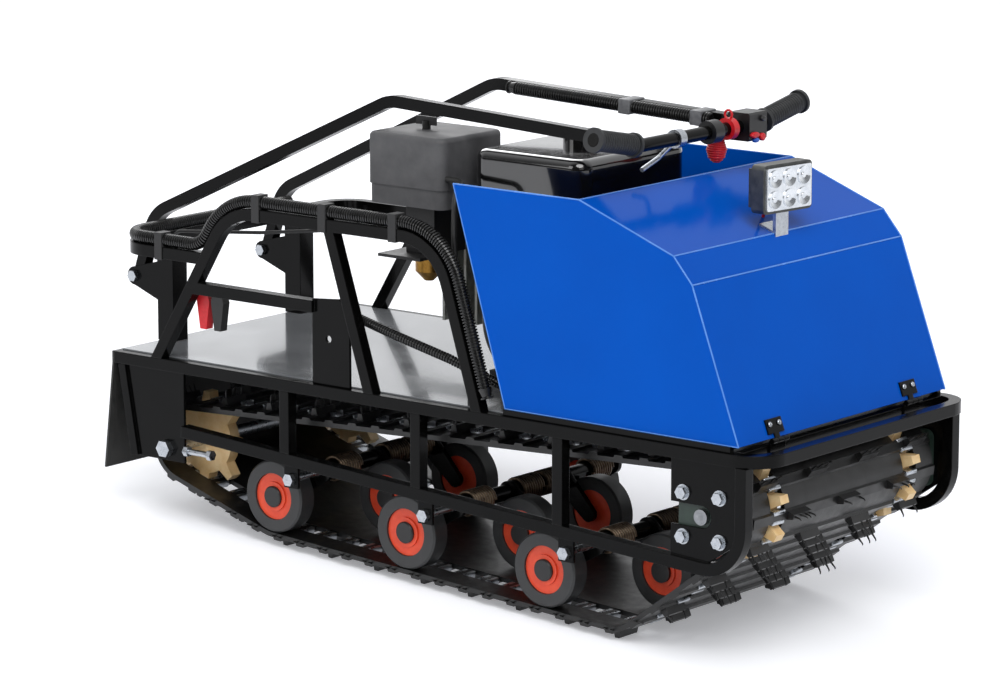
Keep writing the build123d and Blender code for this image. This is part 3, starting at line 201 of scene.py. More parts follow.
finish("black_engine_paint", ("#0C0C0C", "#1B1B1C"), 30, 1.4, 0.06, (0.38, 0.55), {"IOR": 1.5})
print("Paints:", list(finishes))

# %% [markdown]
# Bare metal: zinc plating on fasteners is cool and pale, turned steel is a little darker, the springs
# are browned, cast alloy is gritty, and the float bowl is passivated to a yellow bronze.

# %% Bare metal
finish("zinc_plate", ("#A4A9AF", "#C6CACF"), 9, 1.2, 0.02, (0.22, 0.38), {"Metallic": 1.0})
finish("turned_steel", ("#77797C", "#A1A3A6"), 14, 0.9, 0.02, (0.28, 0.44), {"Metallic": 1.0})
finish("spring_steel", ("#4A3E34", "#86735F"), 8, 1.0, 0.02, (0.26, 0.4), {"Metallic": 0.9})
finish("cast_alloy", ("#83847F", "#A9AAA6"), 16, 1.3, 0.12, (0.42, 0.58), {"Metallic": 1.0})
finish("dark_cast_alloy", ("#4E4F4E", "#6A6B69"), 16, 1.3, 0.1, (0.42, 0.58), {"Metallic": 0.9})
finish("passivated_bronze", ("#7D5A26", "#B58B45"), 12, 1.1, 0.03, (0.28, 0.42), {"Metallic": 1.0})
print("Metals ready, finishes so far:", len(finishes))

# %% [markdown]
# Rubber and plastic: the track is moulded rubber with a dull shine, the roller tyres are a paler and
# smoother rubber on orange hubs, and the filter box has a moulded grain.

# %% Rubber and plastic
finish("track_rubber", ("#070707", "#131313"), 25, 1.8, 0.12, (0.3, 0.5), {"IOR": 1.52})
finish("flap_rubber", ("#1A1A19", "#2B2B2A"), 18, 3.0, 0.25, (0.5, 0.7), {"IOR": 1.52})
finish("tyre_rubber", ("#28292A", "#353637"), 22, 1.2, 0.04, (0.42, 0.58), {"IOR": 1.52})
finish("orange_nylon", ("#DD3F1E", "#EC5330"), 18, 1.0, 0.03, (0.36, 0.5), {"IOR": 1.53})
finish("black_nylon", ("#141415", "#212122"), 14, 0.9, 0.03, (0.35, 0.5), {"IOR": 1.53})
finish("natural_nylon", ("#DDB57A", "#F0D3A2"), 26, 1.2, 0.04, (0.38, 0.5),
       {"IOR": 1.53, "Subsurface Weight": 0.12, "Subsurface Radius": (0.004, 0.003, 0.002)})
finish("grained_plastic", ("#404042", "#565658"), 40, 1.1, 0.1, (0.5, 0.64), {"IOR": 1.5})
finish("grey_tape", ("#4E4F52", "#707174"), 10, 0.9, 0.04, (0.35, 0.5), {"IOR": 1.5})
finish("grip_rubber", ("#1A1B1D", "#2A2C2E"), 12, 1.0, 0.05, (0.5, 0.65), {"IOR": 1.52})
finish("switch_plastic", ("#0E0E0F", "#191919"), 16, 0.8, 0.03, (0.32, 0.45), {"IOR": 1.5})
finish("corrugated_plastic", ("#0C0C0C", "#171717"), 20, 1.0, 0.02, (0.22, 0.32), {"IOR": 1.55})
finish("strap_webbing", ("#0C0C0D", "#18181A"), 9, 0.8, 0.12, (0.6, 0.75),
       {"IOR": 1.5, "Sheen Weight": 0.2})
finish("hose_rubber", ("#0D0D0D", "#191918"), 14, 1.0, 0.03, (0.45, 0.6), {"IOR": 1.52})
finish("red_plastic", ("#B80D15", "#D4202A"), 12, 0.9, 0.03, (0.28, 0.42), {"IOR": 1.5})
finish("blue_plastic", ("#1B4FA8", "#2C66C4"), 10, 0.9, 0.02, (0.28, 0.4), {"IOR": 1.5})
finish("silvered_lens", ("#C9CFD6", "#EEF1F4"), 12, 3.0, 0.05, (0.06, 0.16),
       {"Metallic": 0.75, "Coat Weight": 1.0, "Coat Roughness": 0.03})
print("Finishes:", len(finishes))

# %% [markdown]
# ## Dress the solids
# Each solid names its material slot in the record, and one table turns a slot into a finish. A second
# table names the few solids that have a finish of their own within their slot.

# %% Give each solid its finish
# The deck's slot gets a pale grey that is partly painted reflection.
slot_finish = {
    "frame_black": "black_powder_coat", "hood_blue": "blue_powder_coat", "deck_grey": "deck_grey_and_painted_reflection",
    "zinc": "zinc_plate", "steel": "turned_steel", "track_rubber": "track_rubber",
    "roller_rubber": "tyre_rubber", "roller_orange": "orange_nylon", "cap_plastic": "black_nylon",
    "sprocket_nylon": "natural_nylon", "engine_black": "black_engine_paint", "engine_alloy": "cast_alloy",
    "tank_black": "black_tank_enamel", "filter_plastic": "grained_plastic", "bronze": "passivated_bronze",
    "grip_rubber": "grip_rubber", "switch_plastic": "switch_plastic",
    "conduit_plastic": "corrugated_plastic", "strap_black": "strap_webbing", "hose_rubber": "hose_rubber",
    "lanyard_red": "red_plastic", "lamp_lens": "silvered_lens", "lamp_black": "cast_alloy",
}
own_finish = {"bearings": "green_bearing_paint", "filter_knob": "black_nylon", "lamp_bracket": "zinc_plate",
              "lamp_housing": "dark_cast_alloy", "mud_flap": "flap_rubber"}
for subpart in frame["record"]["subparts"]:
    solid = frame["nodes"][subpart["node"]]
    coat = own_finish.get(subpart["node"], slot_finish[subpart["material_slot"]])
    solid.data.materials.clear()
    solid.data.materials.append(finishes[coat])

# %% [markdown]
# ## Studio
# The machine stands on a wide sheet of white paper. The paper shows a little of its own light to the
# camera and in reflections, so that it stays pale, and it still takes the soft shadow under the track.

# %% Lay the floor
FLOOR_SIZE = 30.0
FLOOR_DROP = 0.5
PAPER_FIBRE = 400.0
PAPER_GLOW = 0.3
bpy.ops.object.select_all(action="DESELECT")
bpy.ops.mesh.primitive_grid_add(
    x_subdivisions=8, y_subdivisions=8, size=FLOOR_SIZE, location=(0, 0, -FLOOR_DROP * MM)
)
floor = bpy.context.active_object
floor.name = "studio_floor"
floor_paper = bpy.data.materials.new("white_studio_paper")
floor_paper.use_nodes = True
tree = floor_paper.node_tree
tree.nodes.clear()
place = add_node(tree, "ShaderNodeTexCoord", {})
fibre = add_node(tree, "ShaderNodeTexNoise", {"Scale": 1 / (PAPER_FIBRE * MM), "Detail": 4.0},
                 {"Vector": place.outputs["Object"]})
tone = add_node(tree, "ShaderNodeValToRGB", {}, {"Fac": fibre.outputs["Fac"]})
tone.color_ramp.elements[0].color = linear("#EDEEF2")
tone.color_ramp.elements[1].color = linear("#F4F5F8")
ray = add_node(tree, "ShaderNodeLightPath", {})
mirrored = add_node(tree, "ShaderNodeMath", {"operation": "MAXIMUM"},
                    {0: ray.outputs["Is Camera Ray"], 1: ray.outputs["Is Glossy Ray"]})
lift = add_node(tree, "ShaderNodeMath", {"operation": "MULTIPLY", 1: PAPER_GLOW},
                {0: mirrored.outputs["Value"]})
paper = add_node(
    tree, "ShaderNodeBsdfPrincipled", {"Roughness": 0.7, "IOR": 1.3, "Emission Color": linear("#F6F7FB")},
    {"Base Color": tone.outputs["Color"], "Emission Strength": lift.outputs["Value"]},
)
add_node(tree, "ShaderNodeOutputMaterial", {}, {"Surface": paper.outputs["BSDF"]})
floor.data.materials.append(floor_paper)
print("Floor", FLOOR_SIZE, "m wide")

# %% [markdown]
# The sky is white where the camera sees it or looks through something. It lights the machine more
# weakly. Gloss paint mirrors a bright backdrop behind the machine and a dim room in front of it.

# %% Light the sky
BACKDROP = (-0.6, 0.76, 0.25)
MIRRORED_ROOM = {"From Min": -0.15, "From Max": 0.4, "To Min": 0.05, "To Max": 1.0}
SKY_LIGHT = 0.4
sky = bpy.data.worlds.new("studio_sky")
bpy.context.scene.world = sky
sky.use_nodes = True
tree = sky.node_tree
tree.nodes.clear()
ray = add_node(tree, "ShaderNodeLightPath", {})
place = add_node(tree, "ShaderNodeTexCoord", {})
behind = add_node(tree, "ShaderNodeVectorMath", {"operation": "DOT_PRODUCT", 1: BACKDROP},
                  {0: place.outputs["Generated"]})
sheen = add_node(tree, "ShaderNodeMapRange", MIRRORED_ROOM, {"Value": behind.outputs["Value"]})
lit = add_node(tree, "ShaderNodeMix", {"A": SKY_LIGHT},
               {"Factor": ray.outputs["Is Glossy Ray"], "B": sheen.outputs["Result"]})
through = add_node(tree, "ShaderNodeMath", {"operation": "MAXIMUM"},
                   {0: ray.outputs["Is Camera Ray"], 1: ray.outputs["Is Transmission Ray"]})
seen = add_node(tree, "ShaderNodeMix", {"B": 1.0},
                {"Factor": through.outputs["Value"], "A": lit.outputs["Result"]})
white = add_node(tree, "ShaderNodeBackground", {"Color": linear("#F7F8FA")},
                 {"Strength": seen.outputs["Result"]})
add_node(tree, "ShaderNodeOutputWorld", {}, {"Surface": white.outputs["Background"]})
bpy.context.scene.view_settings.view_transform = "Standard"
print("Sky lights the machine at", SKY_LIGHT)

# %% [markdown]
# A soft sun stands overhead and three large softboxes stand round the machine, all aimed at its
# middle. The table gives each lamp's place in metres, its angle or width, and its power.

# %% Hang the lamps
LAMP_AIM = (0.0, 0.0, 0.35)
lamps = (
    ("overhead_sun", "SUN", (2.0, -2.4, 4.5), 0.7, 1.9),
    ("front_softbox", "AREA", (3.6, -2.6, 3.0), 2.4, 40),
    ("side_softbox", "AREA", (-1.8, -4.2, 2.4), 2.4, 45),
    ("rear_softbox", "AREA", (-3.4, 2.8, 2.8), 2.4, 60),
)
for name, kind, spot, size, power in lamps:
    lamp_data = bpy.data.lights.new(name, kind)
    if kind == "SUN":
        lamp_data.angle = size
    else:
        lamp_data.shape = "SQUARE"
        lamp_data.size = size
    lamp_data.energy = power
    lamp = bpy.data.objects.new(name, lamp_data)
    bpy.context.scene.collection.objects.link(lamp)
    lamp.location = spot
    lamp.rotation_euler = (Vector(LAMP_AIM) - Vector(spot)).to_track_quat("-Z", "Y").to_euler()
print("Lamps:", [name for name, *_ in lamps])

# %% [markdown]
# ## Modelling helpers
# A piece starts as a primitive at its size and place, alone in the selection. When it is done, its
# place goes into its mesh, it is stood on the ground, smoothed where its faces nearly agree, dressed,
# and told which body it rides on.


# %% Helpers for new pieces
def begin(kind, **how):
    """A new primitive, alone in the selection."""
    bpy.ops.object.select_all(action="DESELECT")
    getattr(bpy.ops.mesh, f"primitive_{kind}_add")(**how)
    return bpy.context.active_object


def resize(x, y, z):
    """Scale the whole active piece about its own middle, in edit mode."""
    bpy.ops.object.mode_set(mode="EDIT")
    bpy.ops.mesh.select_all(action="SELECT")
    bpy.ops.transform.resize(value=(x, y, z))
    bpy.ops.object.mode_set(mode="OBJECT")


def choose(piece, rule):
    """Edit mode with only the faces selected whose normal meets a rule."""
    bpy.ops.object.mode_set(mode="EDIT")
    bpy.ops.mesh.select_mode(type="FACE")
    bpy.ops.mesh.select_all(action="DESELECT")
    bpy.ops.object.mode_set(mode="OBJECT")
    for face in piece.data.polygons:
        face.select = rule(face.normal)
    bpy.ops.object.mode_set(mode="EDIT")


def inset(piece, rule, *steps):
    """Inset the faces whose normal meets a rule, in steps of width and depth in millimetres."""
    choose(piece, rule)
    for width, depth in steps:
        bpy.ops.mesh.inset(thickness=width * MM, depth=depth * MM)
    bpy.ops.object.mode_set(mode="OBJECT")


def modify(piece, kind, **settings):
    """One modifier, set and applied."""
    modifier = piece.modifiers.new(kind.lower(), kind)
    for name, value in settings.items():
        setattr(modifier, name, value)
    bpy.context.view_layer.objects.active = piece
    bpy.ops.object.modifier_apply(modifier=modifier.name)


def spread(piece, places):
    """Copies of a piece at other places, each by a matrix, joined to one mesh."""
    copies = []
    for place in places:
        copy = piece.copy()
        copy.data = piece.data.copy()
        bpy.context.scene.collection.objects.link(copy)
        copy.matrix_world = place
        copies.append(copy)
    bpy.data.objects.remove(piece)
    bpy.ops.object.select_all(action="DESELECT")
    for copy in copies:
        copy.select_set(True)
    bpy.context.view_layer.objects.active = copies[0]
    bpy.ops.object.join()
    return bpy.context.active_object


def settle(piece, name, body, slot, coat=None, stand=STAND, angle=35):
    """Stand a finished piece on the ground, dress it and let it ride on its body."""
    bpy.ops.object.select_all(action="DESELECT")
    piece.select_set(True)
    bpy.context.view_layer.objects.active = piece
    bpy.ops.object.transform_apply(location=True, rotation=True, scale=True)
    piece.data.transform(stand)
    bpy.ops.object.shade_smooth_by_angle(angle=radians(angle))
    piece.name = name
    piece.data.materials.clear()
    piece.data.materials.append(finishes[coat or slot_finish[slot]])
    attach(piece, body)
    print(name, len(piece.data.polygons), "faces")
    return piece


def at(x, y, z):
    """A place on the level drawing, in millimetres."""
    return Matrix.Translation(Vector((x, y, z)) * MM)


MERGE = 0.02


def tidy_normals():
    """Merge what a modifier left double, and point the faces outwards."""
    bpy.ops.object.mode_set(mode="EDIT")
    bpy.ops.mesh.select_all(action="SELECT")
    bpy.ops.mesh.remove_doubles(threshold=MERGE * MM)
    bpy.ops.mesh.normals_make_consistent(inside=False)
    bpy.ops.object.mode_set(mode="OBJECT")


# %% [markdown]
# ## Coil springs
# Each roller arm is pressed down by a torsion spring wound close round its sleeve. A circle the size
# of the wire is moved out to the winding's radius, and a Screw modifier winds it, one wire's
# thickness for each turn.

# %% Wind the springs
PIVOTS = (-911.0, -621.5, -332.0)
PIVOT_START = (-1152.0, -164.5)
SPRING_ROWS = (-158.0, -31.0, 31.0, 158.0)
WIRE = 6.0
WINDING = 19.0
TURNS = 9
TURN_STEPS = 22


def pivot_height(x):
    """Height of a roller pivot on the level drawing, where the line of pivots runs down to the front."""
    return PIVOT_START[1] - (x - PIVOT_START[0]) * tan(radians(NOSE_UP))


spring = begin("circle", vertices=8, radius=WIRE / 2 * MM)
bpy.ops.object.mode_set(mode="EDIT")
bpy.ops.transform.translate(value=(WINDING * MM, 0, 0))
bpy.ops.object.mode_set(mode="OBJECT")
modify(spring, "SCREW", axis="Y", angle=2 * pi, screw_offset=WIRE * MM, iterations=TURNS,
       steps=TURN_STEPS, render_steps=TURN_STEPS)
tidy_normals()
places = [at(x, y - TURNS * WIRE / 2, pivot_height(x)) for x in PIVOTS for y in SPRING_ROWS]
springs = settle(spread(spring, places), "coil_springs", "chassis", "steel", "spring_steel", angle=60)
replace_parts(springs, "torsion_springs")

# %% [markdown]
# ## Corrugated conduits
# Split conduit has a ring every few millimetres. One ring starts as a circle, which is extruded and
# widened to a crest and drawn in again. An Array modifier fills a route with rings, and a Curve modifier
# bends them along it. The routes are those of the level drawing, each corner with its bend's radius.

# %% Bend the conduits
RING_STEPS = (1.0, 2.0, 1.0, 1.0)
RING_DEPTH = 0.24
BEND_STEPS = 12
FRAME_ROUTE = (
    ((-493.35, -287.0, 11.3), 0.0),
    ((-577.35, -287.0, 279.3), 121.3),
    ((-1053.9, -287.0, 279.3), 121.3),
    ((-1106.85, -287.0, 193.3), 42.0),
    ((-1290.0, -287.0, 193.3), 55.0),
    ((-1290.0, 138.0, 193.3), 0.0),
)
ARM_ROUTE = (((-773.84, 116.74, 445.16), 0.0), ((-362.78, 126.88, 427.22), 0.0))
VENT_ROUTE = (
    ((-800.0, -268.7, 111.0), 0.0),
    ((-696.0, -268.7, 86.0), 60.0),
    ((-600.0, -252.0, 58.0), 60.0),
    ((-520.0, -228.0, 24.0), 60.0),
    ((-470.0, -212.0, 1.0), 0.0),
)
CONDUITS = (
    ("frame_conduit", "chassis", 11.0, FRAME_ROUTE),
    ("arm_conduit", "handle", 11.0, ARM_ROUTE),
    ("vent_hose", "chassis", 8.0, VENT_ROUTE),
)


def rounded(corners):
    """Points of a route, in millimetres, with an arc of its own radius at each corner."""
    points = [Vector(corners[0][0])]
    for (before, _), (corner, radius), (after, _) in zip(corners, corners[1:], corners[2:]):
        corner = Vector(corner)
        back, on = (Vector(before) - corner).normalized(), (Vector(after) - corner).normalized()
        half = back.angle(on) / 2
        middle = corner + (back + on).normalized() * radius / sin(half)
        start = (corner + back * radius / tan(half) - middle).normalized()
        end = (corner + on * radius / tan(half) - middle).normalized()
        points += [middle + start.slerp(end, i / BEND_STEPS) * radius for i in range(BEND_STEPS + 1)]
    return points + [Vector(corners[-1][0])]


def conduit_route(name, points):
    """A line through points, for the modifiers to follow."""
    curve = bpy.data.curves.new(name, "CURVE")
    curve.dimensions = "3D"
    line = curve.splines.new("POLY")
    line.points.add(len(points) - 1)
    for knot, point in zip(line.points, points):
        knot.co = (*(point * MM), 1.0)
    route = bpy.data.objects.new(name, curve)
    bpy.context.scene.collection.objects.link(route)
    return route


for node, body, radius, corners in CONDUITS:
    route = conduit_route(node + "_route", rounded(corners))
    valley = 1 - RING_DEPTH
    ring = begin("circle", vertices=18, radius=radius * valley * MM, rotation=(0, pi / 2, 0))
    bpy.ops.object.transform_apply(rotation=True)
    bpy.ops.object.mode_set(mode="EDIT")
    bpy.ops.mesh.select_all(action="SELECT")
    for step, widen in zip(RING_STEPS, (1 / valley, 1, valley, 1)):
        bpy.ops.mesh.extrude_region_move(TRANSFORM_OT_translate={"value": (step * MM, 0, 0)})
        bpy.ops.transform.resize(value=(1, widen, widen), center_override=(0, 0, 0))
    bpy.ops.object.mode_set(mode="OBJECT")
    modify(ring, "ARRAY", fit_type="FIT_CURVE", curve=route, use_relative_offset=False,
           use_constant_offset=True, constant_offset_displace=(sum(RING_STEPS) * MM, 0, 0),
           use_merge_vertices=True)
    modify(ring, "CURVE", object=route, deform_axis="POS_X")
    bpy.data.objects.remove(route)
    tidy_normals()
    bpy.ops.object.mode_set(mode="EDIT")
    bpy.ops.mesh.select_all(action="SELECT")
    bpy.ops.mesh.fill_holes(sides=0)
    bpy.ops.object.mode_set(mode="OBJECT")
    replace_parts(settle(ring, node + "_rings", body, "conduit_plastic", angle=50), node)

# %% [markdown]
# Two bands of tape hold the conduit to the handle's left arm. A band is a block round both, with a low
# step at its ends and all its edges rounded off.

# %% Wrap the tape
TAPE = (22.0, 44.6, 24.6)
TAPE_SHARES = (0.6, 0.95)
ARM_SIDE = Vector((0, 10.15, 0))
start, end = (Vector(corner) for corner, _ in ARM_ROUTE)
along = (end - start).to_track_quat("X", "Z").to_matrix().to_4x4()
tape = begin("cube", size=MM)
resize(*TAPE)
inset(tape, lambda normal: abs(normal.x) > 0.9, (1.2, 0.6))
modify(tape, "BEVEL", width=2.5 * MM, segments=3)
places = [at(*(start.lerp(end, share) + ARM_SIDE)) @ along for share in TAPE_SHARES]
settle(spread(tape, places), "arm_tape", "handle", "conduit_plastic", "grey_tape")

# %% [markdown]
# ## Track clips and moulding whiskers
# Pressed zinc clips stand on both sides of each rung where the sprocket teeth pass, so that nylon runs
# on metal and not on rubber. New moulded rubber also keeps thin whiskers, where it ran into the vents of
# its mould. The crests of the lugs are found in the track's own mesh, by the lengths of their sides, and
# clips and whiskers are set from them.

# %% Find the lugs
CREST = (8.0, 48.0)
CREST_SLACK = 0.05
LUG_HEIGHT = 20.0
track_mesh = frame["nodes"]["track"].data
track_middle = sum(map(Vector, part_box("track")), Vector()) / 2
lugs = {}
for face in track_mesh.polygons:
    corners = [track_mesh.vertices[i].co for i in face.vertices]
    sides = sorted((corners[i] - corners[i - 1]).length for i in range(3))
    outward = face.normal.dot(face.center - track_middle) > 0
    if outward and all(abs(side - size * MM) < CREST_SLACK * MM for side, size in zip(sides, CREST)):
        middle = [(min(c[axis] for c in corners) + max(c[axis] for c in corners)) / 2 for axis in range(3)]
        lugs[tuple(round(v, 4) for v in middle)] = face.normal.copy()
rungs = {(x, z): normal for (x, _, z), normal in lugs.items()}
print("Lugs", len(lugs), "rungs", len(rungs))


def on_lug(x, y, z, normal, depth, onward=0.0):
    """A place under a lug's crest, with x along the belt, y across it and z out of it."""
    run = Vector((0, 1, 0)).cross(normal)
    turn = Matrix((run, Vector((0, 1, 0)), normal)).transposed().to_4x4()
    return Matrix.Translation(Vector((x, y, z)) + (run * onward - normal * depth) * MM) @ turn


# %% Fold the clips
CLIP = (7.0, 30.0, 11.0)
CLIP_ROWS = (-183.0, 183.0)
CLIP_STEP = 8.0
CLIP_RISE = 2.5
clip = begin("cube", size=MM)
resize(*CLIP)
inset(clip, lambda normal: normal.z > 0.9, (1.4, 0.8))
modify(clip, "BEVEL", width=1.0 * MM, segments=2)
places = [
    on_lug(x, y * MM, z, normal, LUG_HEIGHT - CLIP_RISE, onward)
    for (x, z), normal in rungs.items() for y in CLIP_ROWS for onward in (-CLIP_STEP, CLIP_STEP)
]
settle(spread(clip, places), "track_clips", "chassis", "zinc", stand=Matrix())

# %% [markdown]
# A whisker is a thin cone whose end is drawn out once more and bent aside. Each lug that is clear of the
# ground has two to four, at uneven steps and leans. Lugs that press on the ground have none, and there a
# pair stands out of the belt's edge at each rung.

# %% Draw out the whiskers
WHISKER = 11.5
WHISKER_FOOT = 1.8
WHISKER_NECK = 1.2
WHISKER_TIP = (1.6, 2.5)
WHISKER_SUNK = 1.0
WHISKER_STEPS = ((-19.0, 4.0, 20.0), (-20.0, -3.0, 8.0, 19.0), (-19.0, 19.0))
WHISKER_LEANS = (-14.0, 9.0, -4.0, 16.0, 2.0)
GROUND = 40.0
EDGE_ROW = 254.0
EDGE_STEPS = (-6.0, 7.0)
EDGE_LEAN = 70.0
whisker = begin("cone", vertices=6, radius1=WHISKER_FOOT * MM, radius2=WHISKER_NECK * MM,
                depth=WHISKER * MM, end_fill_type="NGON")
choose(whisker, lambda normal: normal.z > 0.9)
bend, reach = WHISKER_TIP
bpy.ops.mesh.extrude_region_move(TRANSFORM_OT_translate={"value": (bend * MM, 0, reach * MM)})
bpy.ops.object.mode_set(mode="OBJECT")
places = []
for i, ((x, y, z), normal) in enumerate(lugs.items()):
    tip = Vector((x, y, z)) + normal * (WHISKER + reach) * MM
    if tip.x < solid_box[1].x and tip.z > GROUND * MM:
        steps = WHISKER_STEPS[(i + i // 3) % len(WHISKER_STEPS)]
        for k, step in enumerate(steps):
            lean = Matrix.Rotation(radians(WHISKER_LEANS[(i + k) % len(WHISKER_LEANS)]), 4, "X")
            places.append(on_lug(x, y + step * MM, z, normal, WHISKER_SUNK - WHISKER / 2) @ lean)
for x, z in rungs:
    if z < GROUND * MM:
        for hand in (-1, 1):
            lean = Matrix.Rotation(hand * radians(-EDGE_LEAN), 4, "X")
            for step in EDGE_STEPS:
                root = (x + step * MM, hand * EDGE_ROW * MM, z + LUG_HEIGHT * MM)
                places.append(Matrix.Translation(root) @ lean)
settle(spread(whisker, places), "mould_whiskers", "chassis", "track_rubber", stand=Matrix())

# %% [markdown]
# ## Lamp cells
# Six silvered cups stand in the lamp's front, each with a bright chip at its foot. One cup is a short
# cylinder whose face is inset and pushed in; the six are laid out on the lamp's own turned face.

# %% Model the lamp cells
LAMP_PLACE = (-112.0, -5.0, 357.0)
LAMP_TURN = -7.5
LAMP_FACE = 4.6
CELL = 14.5
CELL_DEPTH = 3.0
CELL_PITCH = 33.0
RIM, CUP, FOOT, CHIP = (1.6, 0.0), (5.0, -2.2), (3.0, -0.5), (0.6, 1.2)
cell = begin("cylinder", vertices=24, radius=CELL * MM, depth=CELL_DEPTH * MM, rotation=(0, pi / 2, 0))
bpy.ops.object.transform_apply(rotation=True)
inset(cell, lambda normal: normal.x > 0.9, RIM, CUP, FOOT, CHIP)
lamp_front = at(*LAMP_PLACE) @ Matrix.Rotation(radians(LAMP_TURN), 4, "Z")
places = [
    lamp_front @ at(LAMP_FACE, (column - 1) * CELL_PITCH, (line - 0.5) * CELL_PITCH)
    for column in range(3) for line in range(2)
]
settle(spread(cell, places), "lamp_cells", "hood", "lamp_lens")

# %% [markdown]
# ## Handle pieces
# The grips are ribbed sleeves. The switch box has a red stop rocker, a red choke slide and a blue starter
# button at its lower edge, and a black light rocker above. A rib is a flattened ring, repeated by an Array
# modifier along the grip.

# %% Model the grip ribs
GRIP_RISE = 11.03
GRIP_START = (-289.0, 163.0, 425.0)
FIRST_RIB = 18.0
RIB_PITCH = 6.0
RIBS = 15
RIB_RADIUS = 15.6
RIB = 1.9
RIB_STRETCH = 1.25
rib = begin("torus", major_segments=28, minor_segments=6, major_radius=RIB_RADIUS * MM,
            minor_radius=RIB * MM, rotation=(pi / 2, 0, 0))
bpy.ops.object.transform_apply(rotation=True)
resize(1, RIB_STRETCH, 1)
modify(rib, "ARRAY", count=RIBS, use_relative_offset=False, use_constant_offset=True,
       constant_offset_displace=(0, RIB_PITCH * MM, 0))
left = at(*GRIP_START) @ Matrix.Rotation(radians(GRIP_RISE), 4, "X") @ at(0, FIRST_RIB, 0)
right = Matrix.Scale(-1, 4, (0, 1, 0)) @ left
ribs = spread(rib, [left, right])
bpy.ops.object.transform_apply(location=True, rotation=True, scale=True)
tidy_normals()
settle(ribs, "grip_ribs", "handle", "grip_rubber")

# %% [markdown]
# A button is a short cylinder, stretched to its half width and half height, with a raised face and
# rounded edges. All four stand on the front of the switch box.

# %% Model the buttons
SWITCH_FACE = -265.5
BUTTON_DEPTH = 5.0
BUTTONS = (
    ("stop_rocker", 118.0, 411.0, 11.0, 5.0, "red_plastic"),
    ("start_button", 121.0, 402.5, 7.0, 4.0, "blue_plastic"),
    ("choke_slide", 139.0, 406.0, 6.5, 6.5, "red_plastic"),
    ("light_rocker", 140.0, 436.0, 6.5, 4.5, "black_nylon"),
)
for name, y, z, half_width, half_height, coat in BUTTONS:
    button = begin("cylinder", vertices=20, radius=MM, depth=BUTTON_DEPTH * MM, rotation=(0, pi / 2, 0))
    bpy.ops.object.transform_apply(rotation=True)
    resize(1, half_width, half_height)
    inset(button, lambda normal: normal.x > 0.9, (1.4, 1.5))
    modify(button, "BEVEL", width=0.6 * MM, segments=2)
    button.location = Vector((SWITCH_FACE, y, z)) * MM
    settle(button, name, "handle", "switch_plastic", coat)

# %% [markdown]
# The lanyard's cord is wound to a bulb. Each turn is a ring of cord, a little flattened, and the rings
# follow the bulb's outline from its neck to its foot, given as radius and drop.

# %% Wind the lanyard
BULB = (-312.0, 78.0, 416.0)
BULB_OUTLINE = ((5.0, 0.0), (12.0, 14.0), (16.0, 28.0), (13.0, 40.0), (6.0, 49.0))
CORD = 2.4
CORD_SUNK = 1.0
CORD_FLAT = 0.9
TURN_PITCH = 4.0
turns = []
for upper, lower in zip(BULB_OUTLINE, BULB_OUTLINE[1:]):
    steps = round((lower[1] - upper[1]) / TURN_PITCH)
    turns += [Vector(upper).lerp(Vector(lower), i / steps) for i in range(steps)]
rings = []
for radius, drop in turns:
    ring = begin("torus", major_segments=28, minor_segments=8, major_radius=(radius - CORD_SUNK) * MM,
                 minor_radius=CORD * MM)
    resize(1, 1, CORD_FLAT)
    ring.location = (Vector(BULB) - Vector((0, 0, drop))) * MM
    rings.append(ring)
bpy.ops.object.select_all(action="DESELECT")
for ring in rings:
    ring.select_set(True)
bpy.ops.object.join()
settle(bpy.context.active_object, "wound_cord", "handle", "lanyard_red", angle=60)

# %% [markdown]
# ## Screws
# Each hinge leaf is held by two raised screws with a sunk middle, laid on the sloping front of the
# hood. A screw is a sphere, cut in half, flattened and inset.

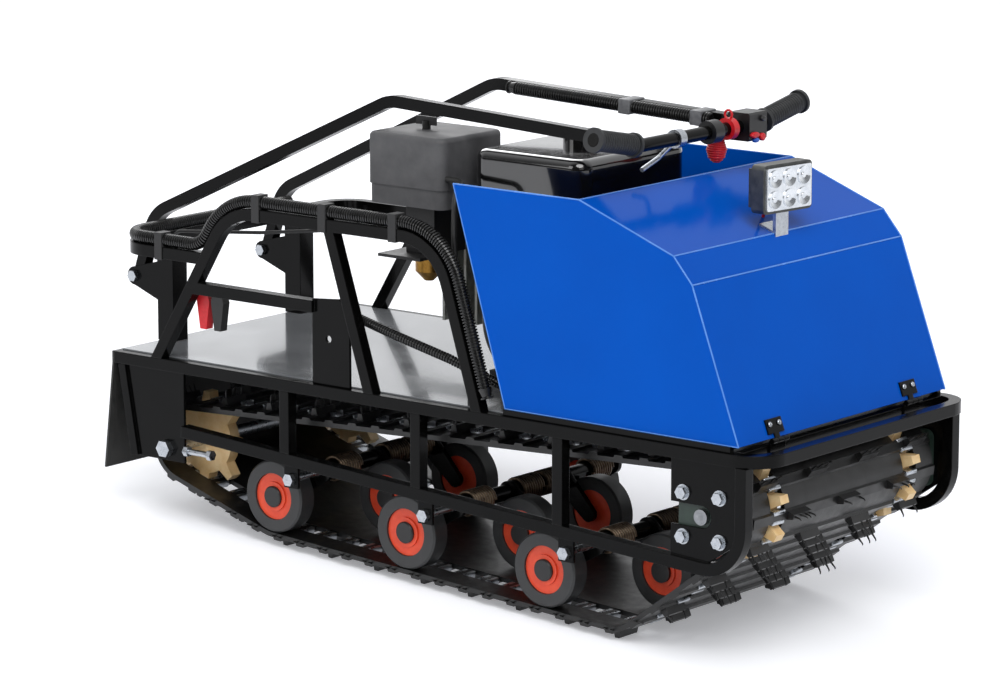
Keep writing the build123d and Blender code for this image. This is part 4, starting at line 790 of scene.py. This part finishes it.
# %% Model the hinge screws
FRONT_LEAN = 20.5
HINGE_ROWS = (-185.0, 185.0)
SCREW_STEPS = (-12.0, 12.0)
SCREW_RISE = 21.0
LEAF_FACE = 2.6
SCREW = 4.6
SCREW_FLAT = 0.6
screw = begin("uv_sphere", segments=16, ring_count=8, radius=SCREW * MM)
bpy.ops.object.mode_set(mode="EDIT")
bpy.ops.mesh.select_all(action="SELECT")
bpy.ops.mesh.bisect(plane_co=(0, 0, 0), plane_no=(1, 0, 0), use_fill=True, clear_inner=True)
bpy.ops.object.mode_set(mode="OBJECT")
resize(SCREW_FLAT, 1, 1)
inset(screw, lambda normal: normal.x > 0.93, (0.7, -0.8))
slope = Matrix.Rotation(radians(-FRONT_LEAN), 4, "Y")
places = [slope @ at(LEAF_FACE, y + step, SCREW_RISE) for y in HINGE_ROWS for step in SCREW_STEPS]
settle(spread(screw, places), "hinge_screws", "hood", "zinc")

# %% [markdown]
# ## Hood edges
# Sheet steel is never sharp: each fold and cut edge has a small radius that catches a line of light.
# A thin round bead is laid along both sides of the hood, from corner to corner, and across at its folds.
# It starts as a cylinder with inset ends and is stretched and turned from one corner to the next.

# %% Model the hood's beads
HOOD_CORNERS = (
    (0.0, 0.0), (-90.5, 242.0), (-126.5, 283.5), (-310.5, 352.0), (-564.0, 352.0), (-458.0, 0.0)
)
CROSS_FOLDS = (1, 2, 3)
HOOD_EDGE = 285.4
BEAD = 1.3


def bead(start, end):
    """A matrix that lays a unit cylinder from one corner to another."""
    run = (Vector(end) - Vector(start)) * MM
    turn = Vector((0, 0, 1)).rotation_difference(run).to_matrix().to_4x4()
    middle = (Vector(start) + Vector(end)) / 2 * MM
    return Matrix.Translation(middle) @ turn @ Matrix.Diagonal((1, 1, run.length, 1))


places = []
for i, (x, z) in enumerate(HOOD_CORNERS):
    x_next, z_next = HOOD_CORNERS[(i + 1) % len(HOOD_CORNERS)]
    for y in (-HOOD_EDGE, HOOD_EDGE):
        places.append(bead((x, y, z), (x_next, y, z_next)))
    if i in CROSS_FOLDS:
        places.append(bead((x, -HOOD_EDGE, z), (x, HOOD_EDGE, z)))
edge = begin("cylinder", vertices=10, radius=BEAD * MM, depth=1.0)
inset(edge, lambda normal: abs(normal.z) > 0.9, (0.4, 0.0))
# The beads are painted a paler blue than the hood, a painted highlight along its edges and folds.
settle(spread(edge, places), "hood_beads", "hood", "hood_blue", "blue_painted_edge_highlight", angle=60)
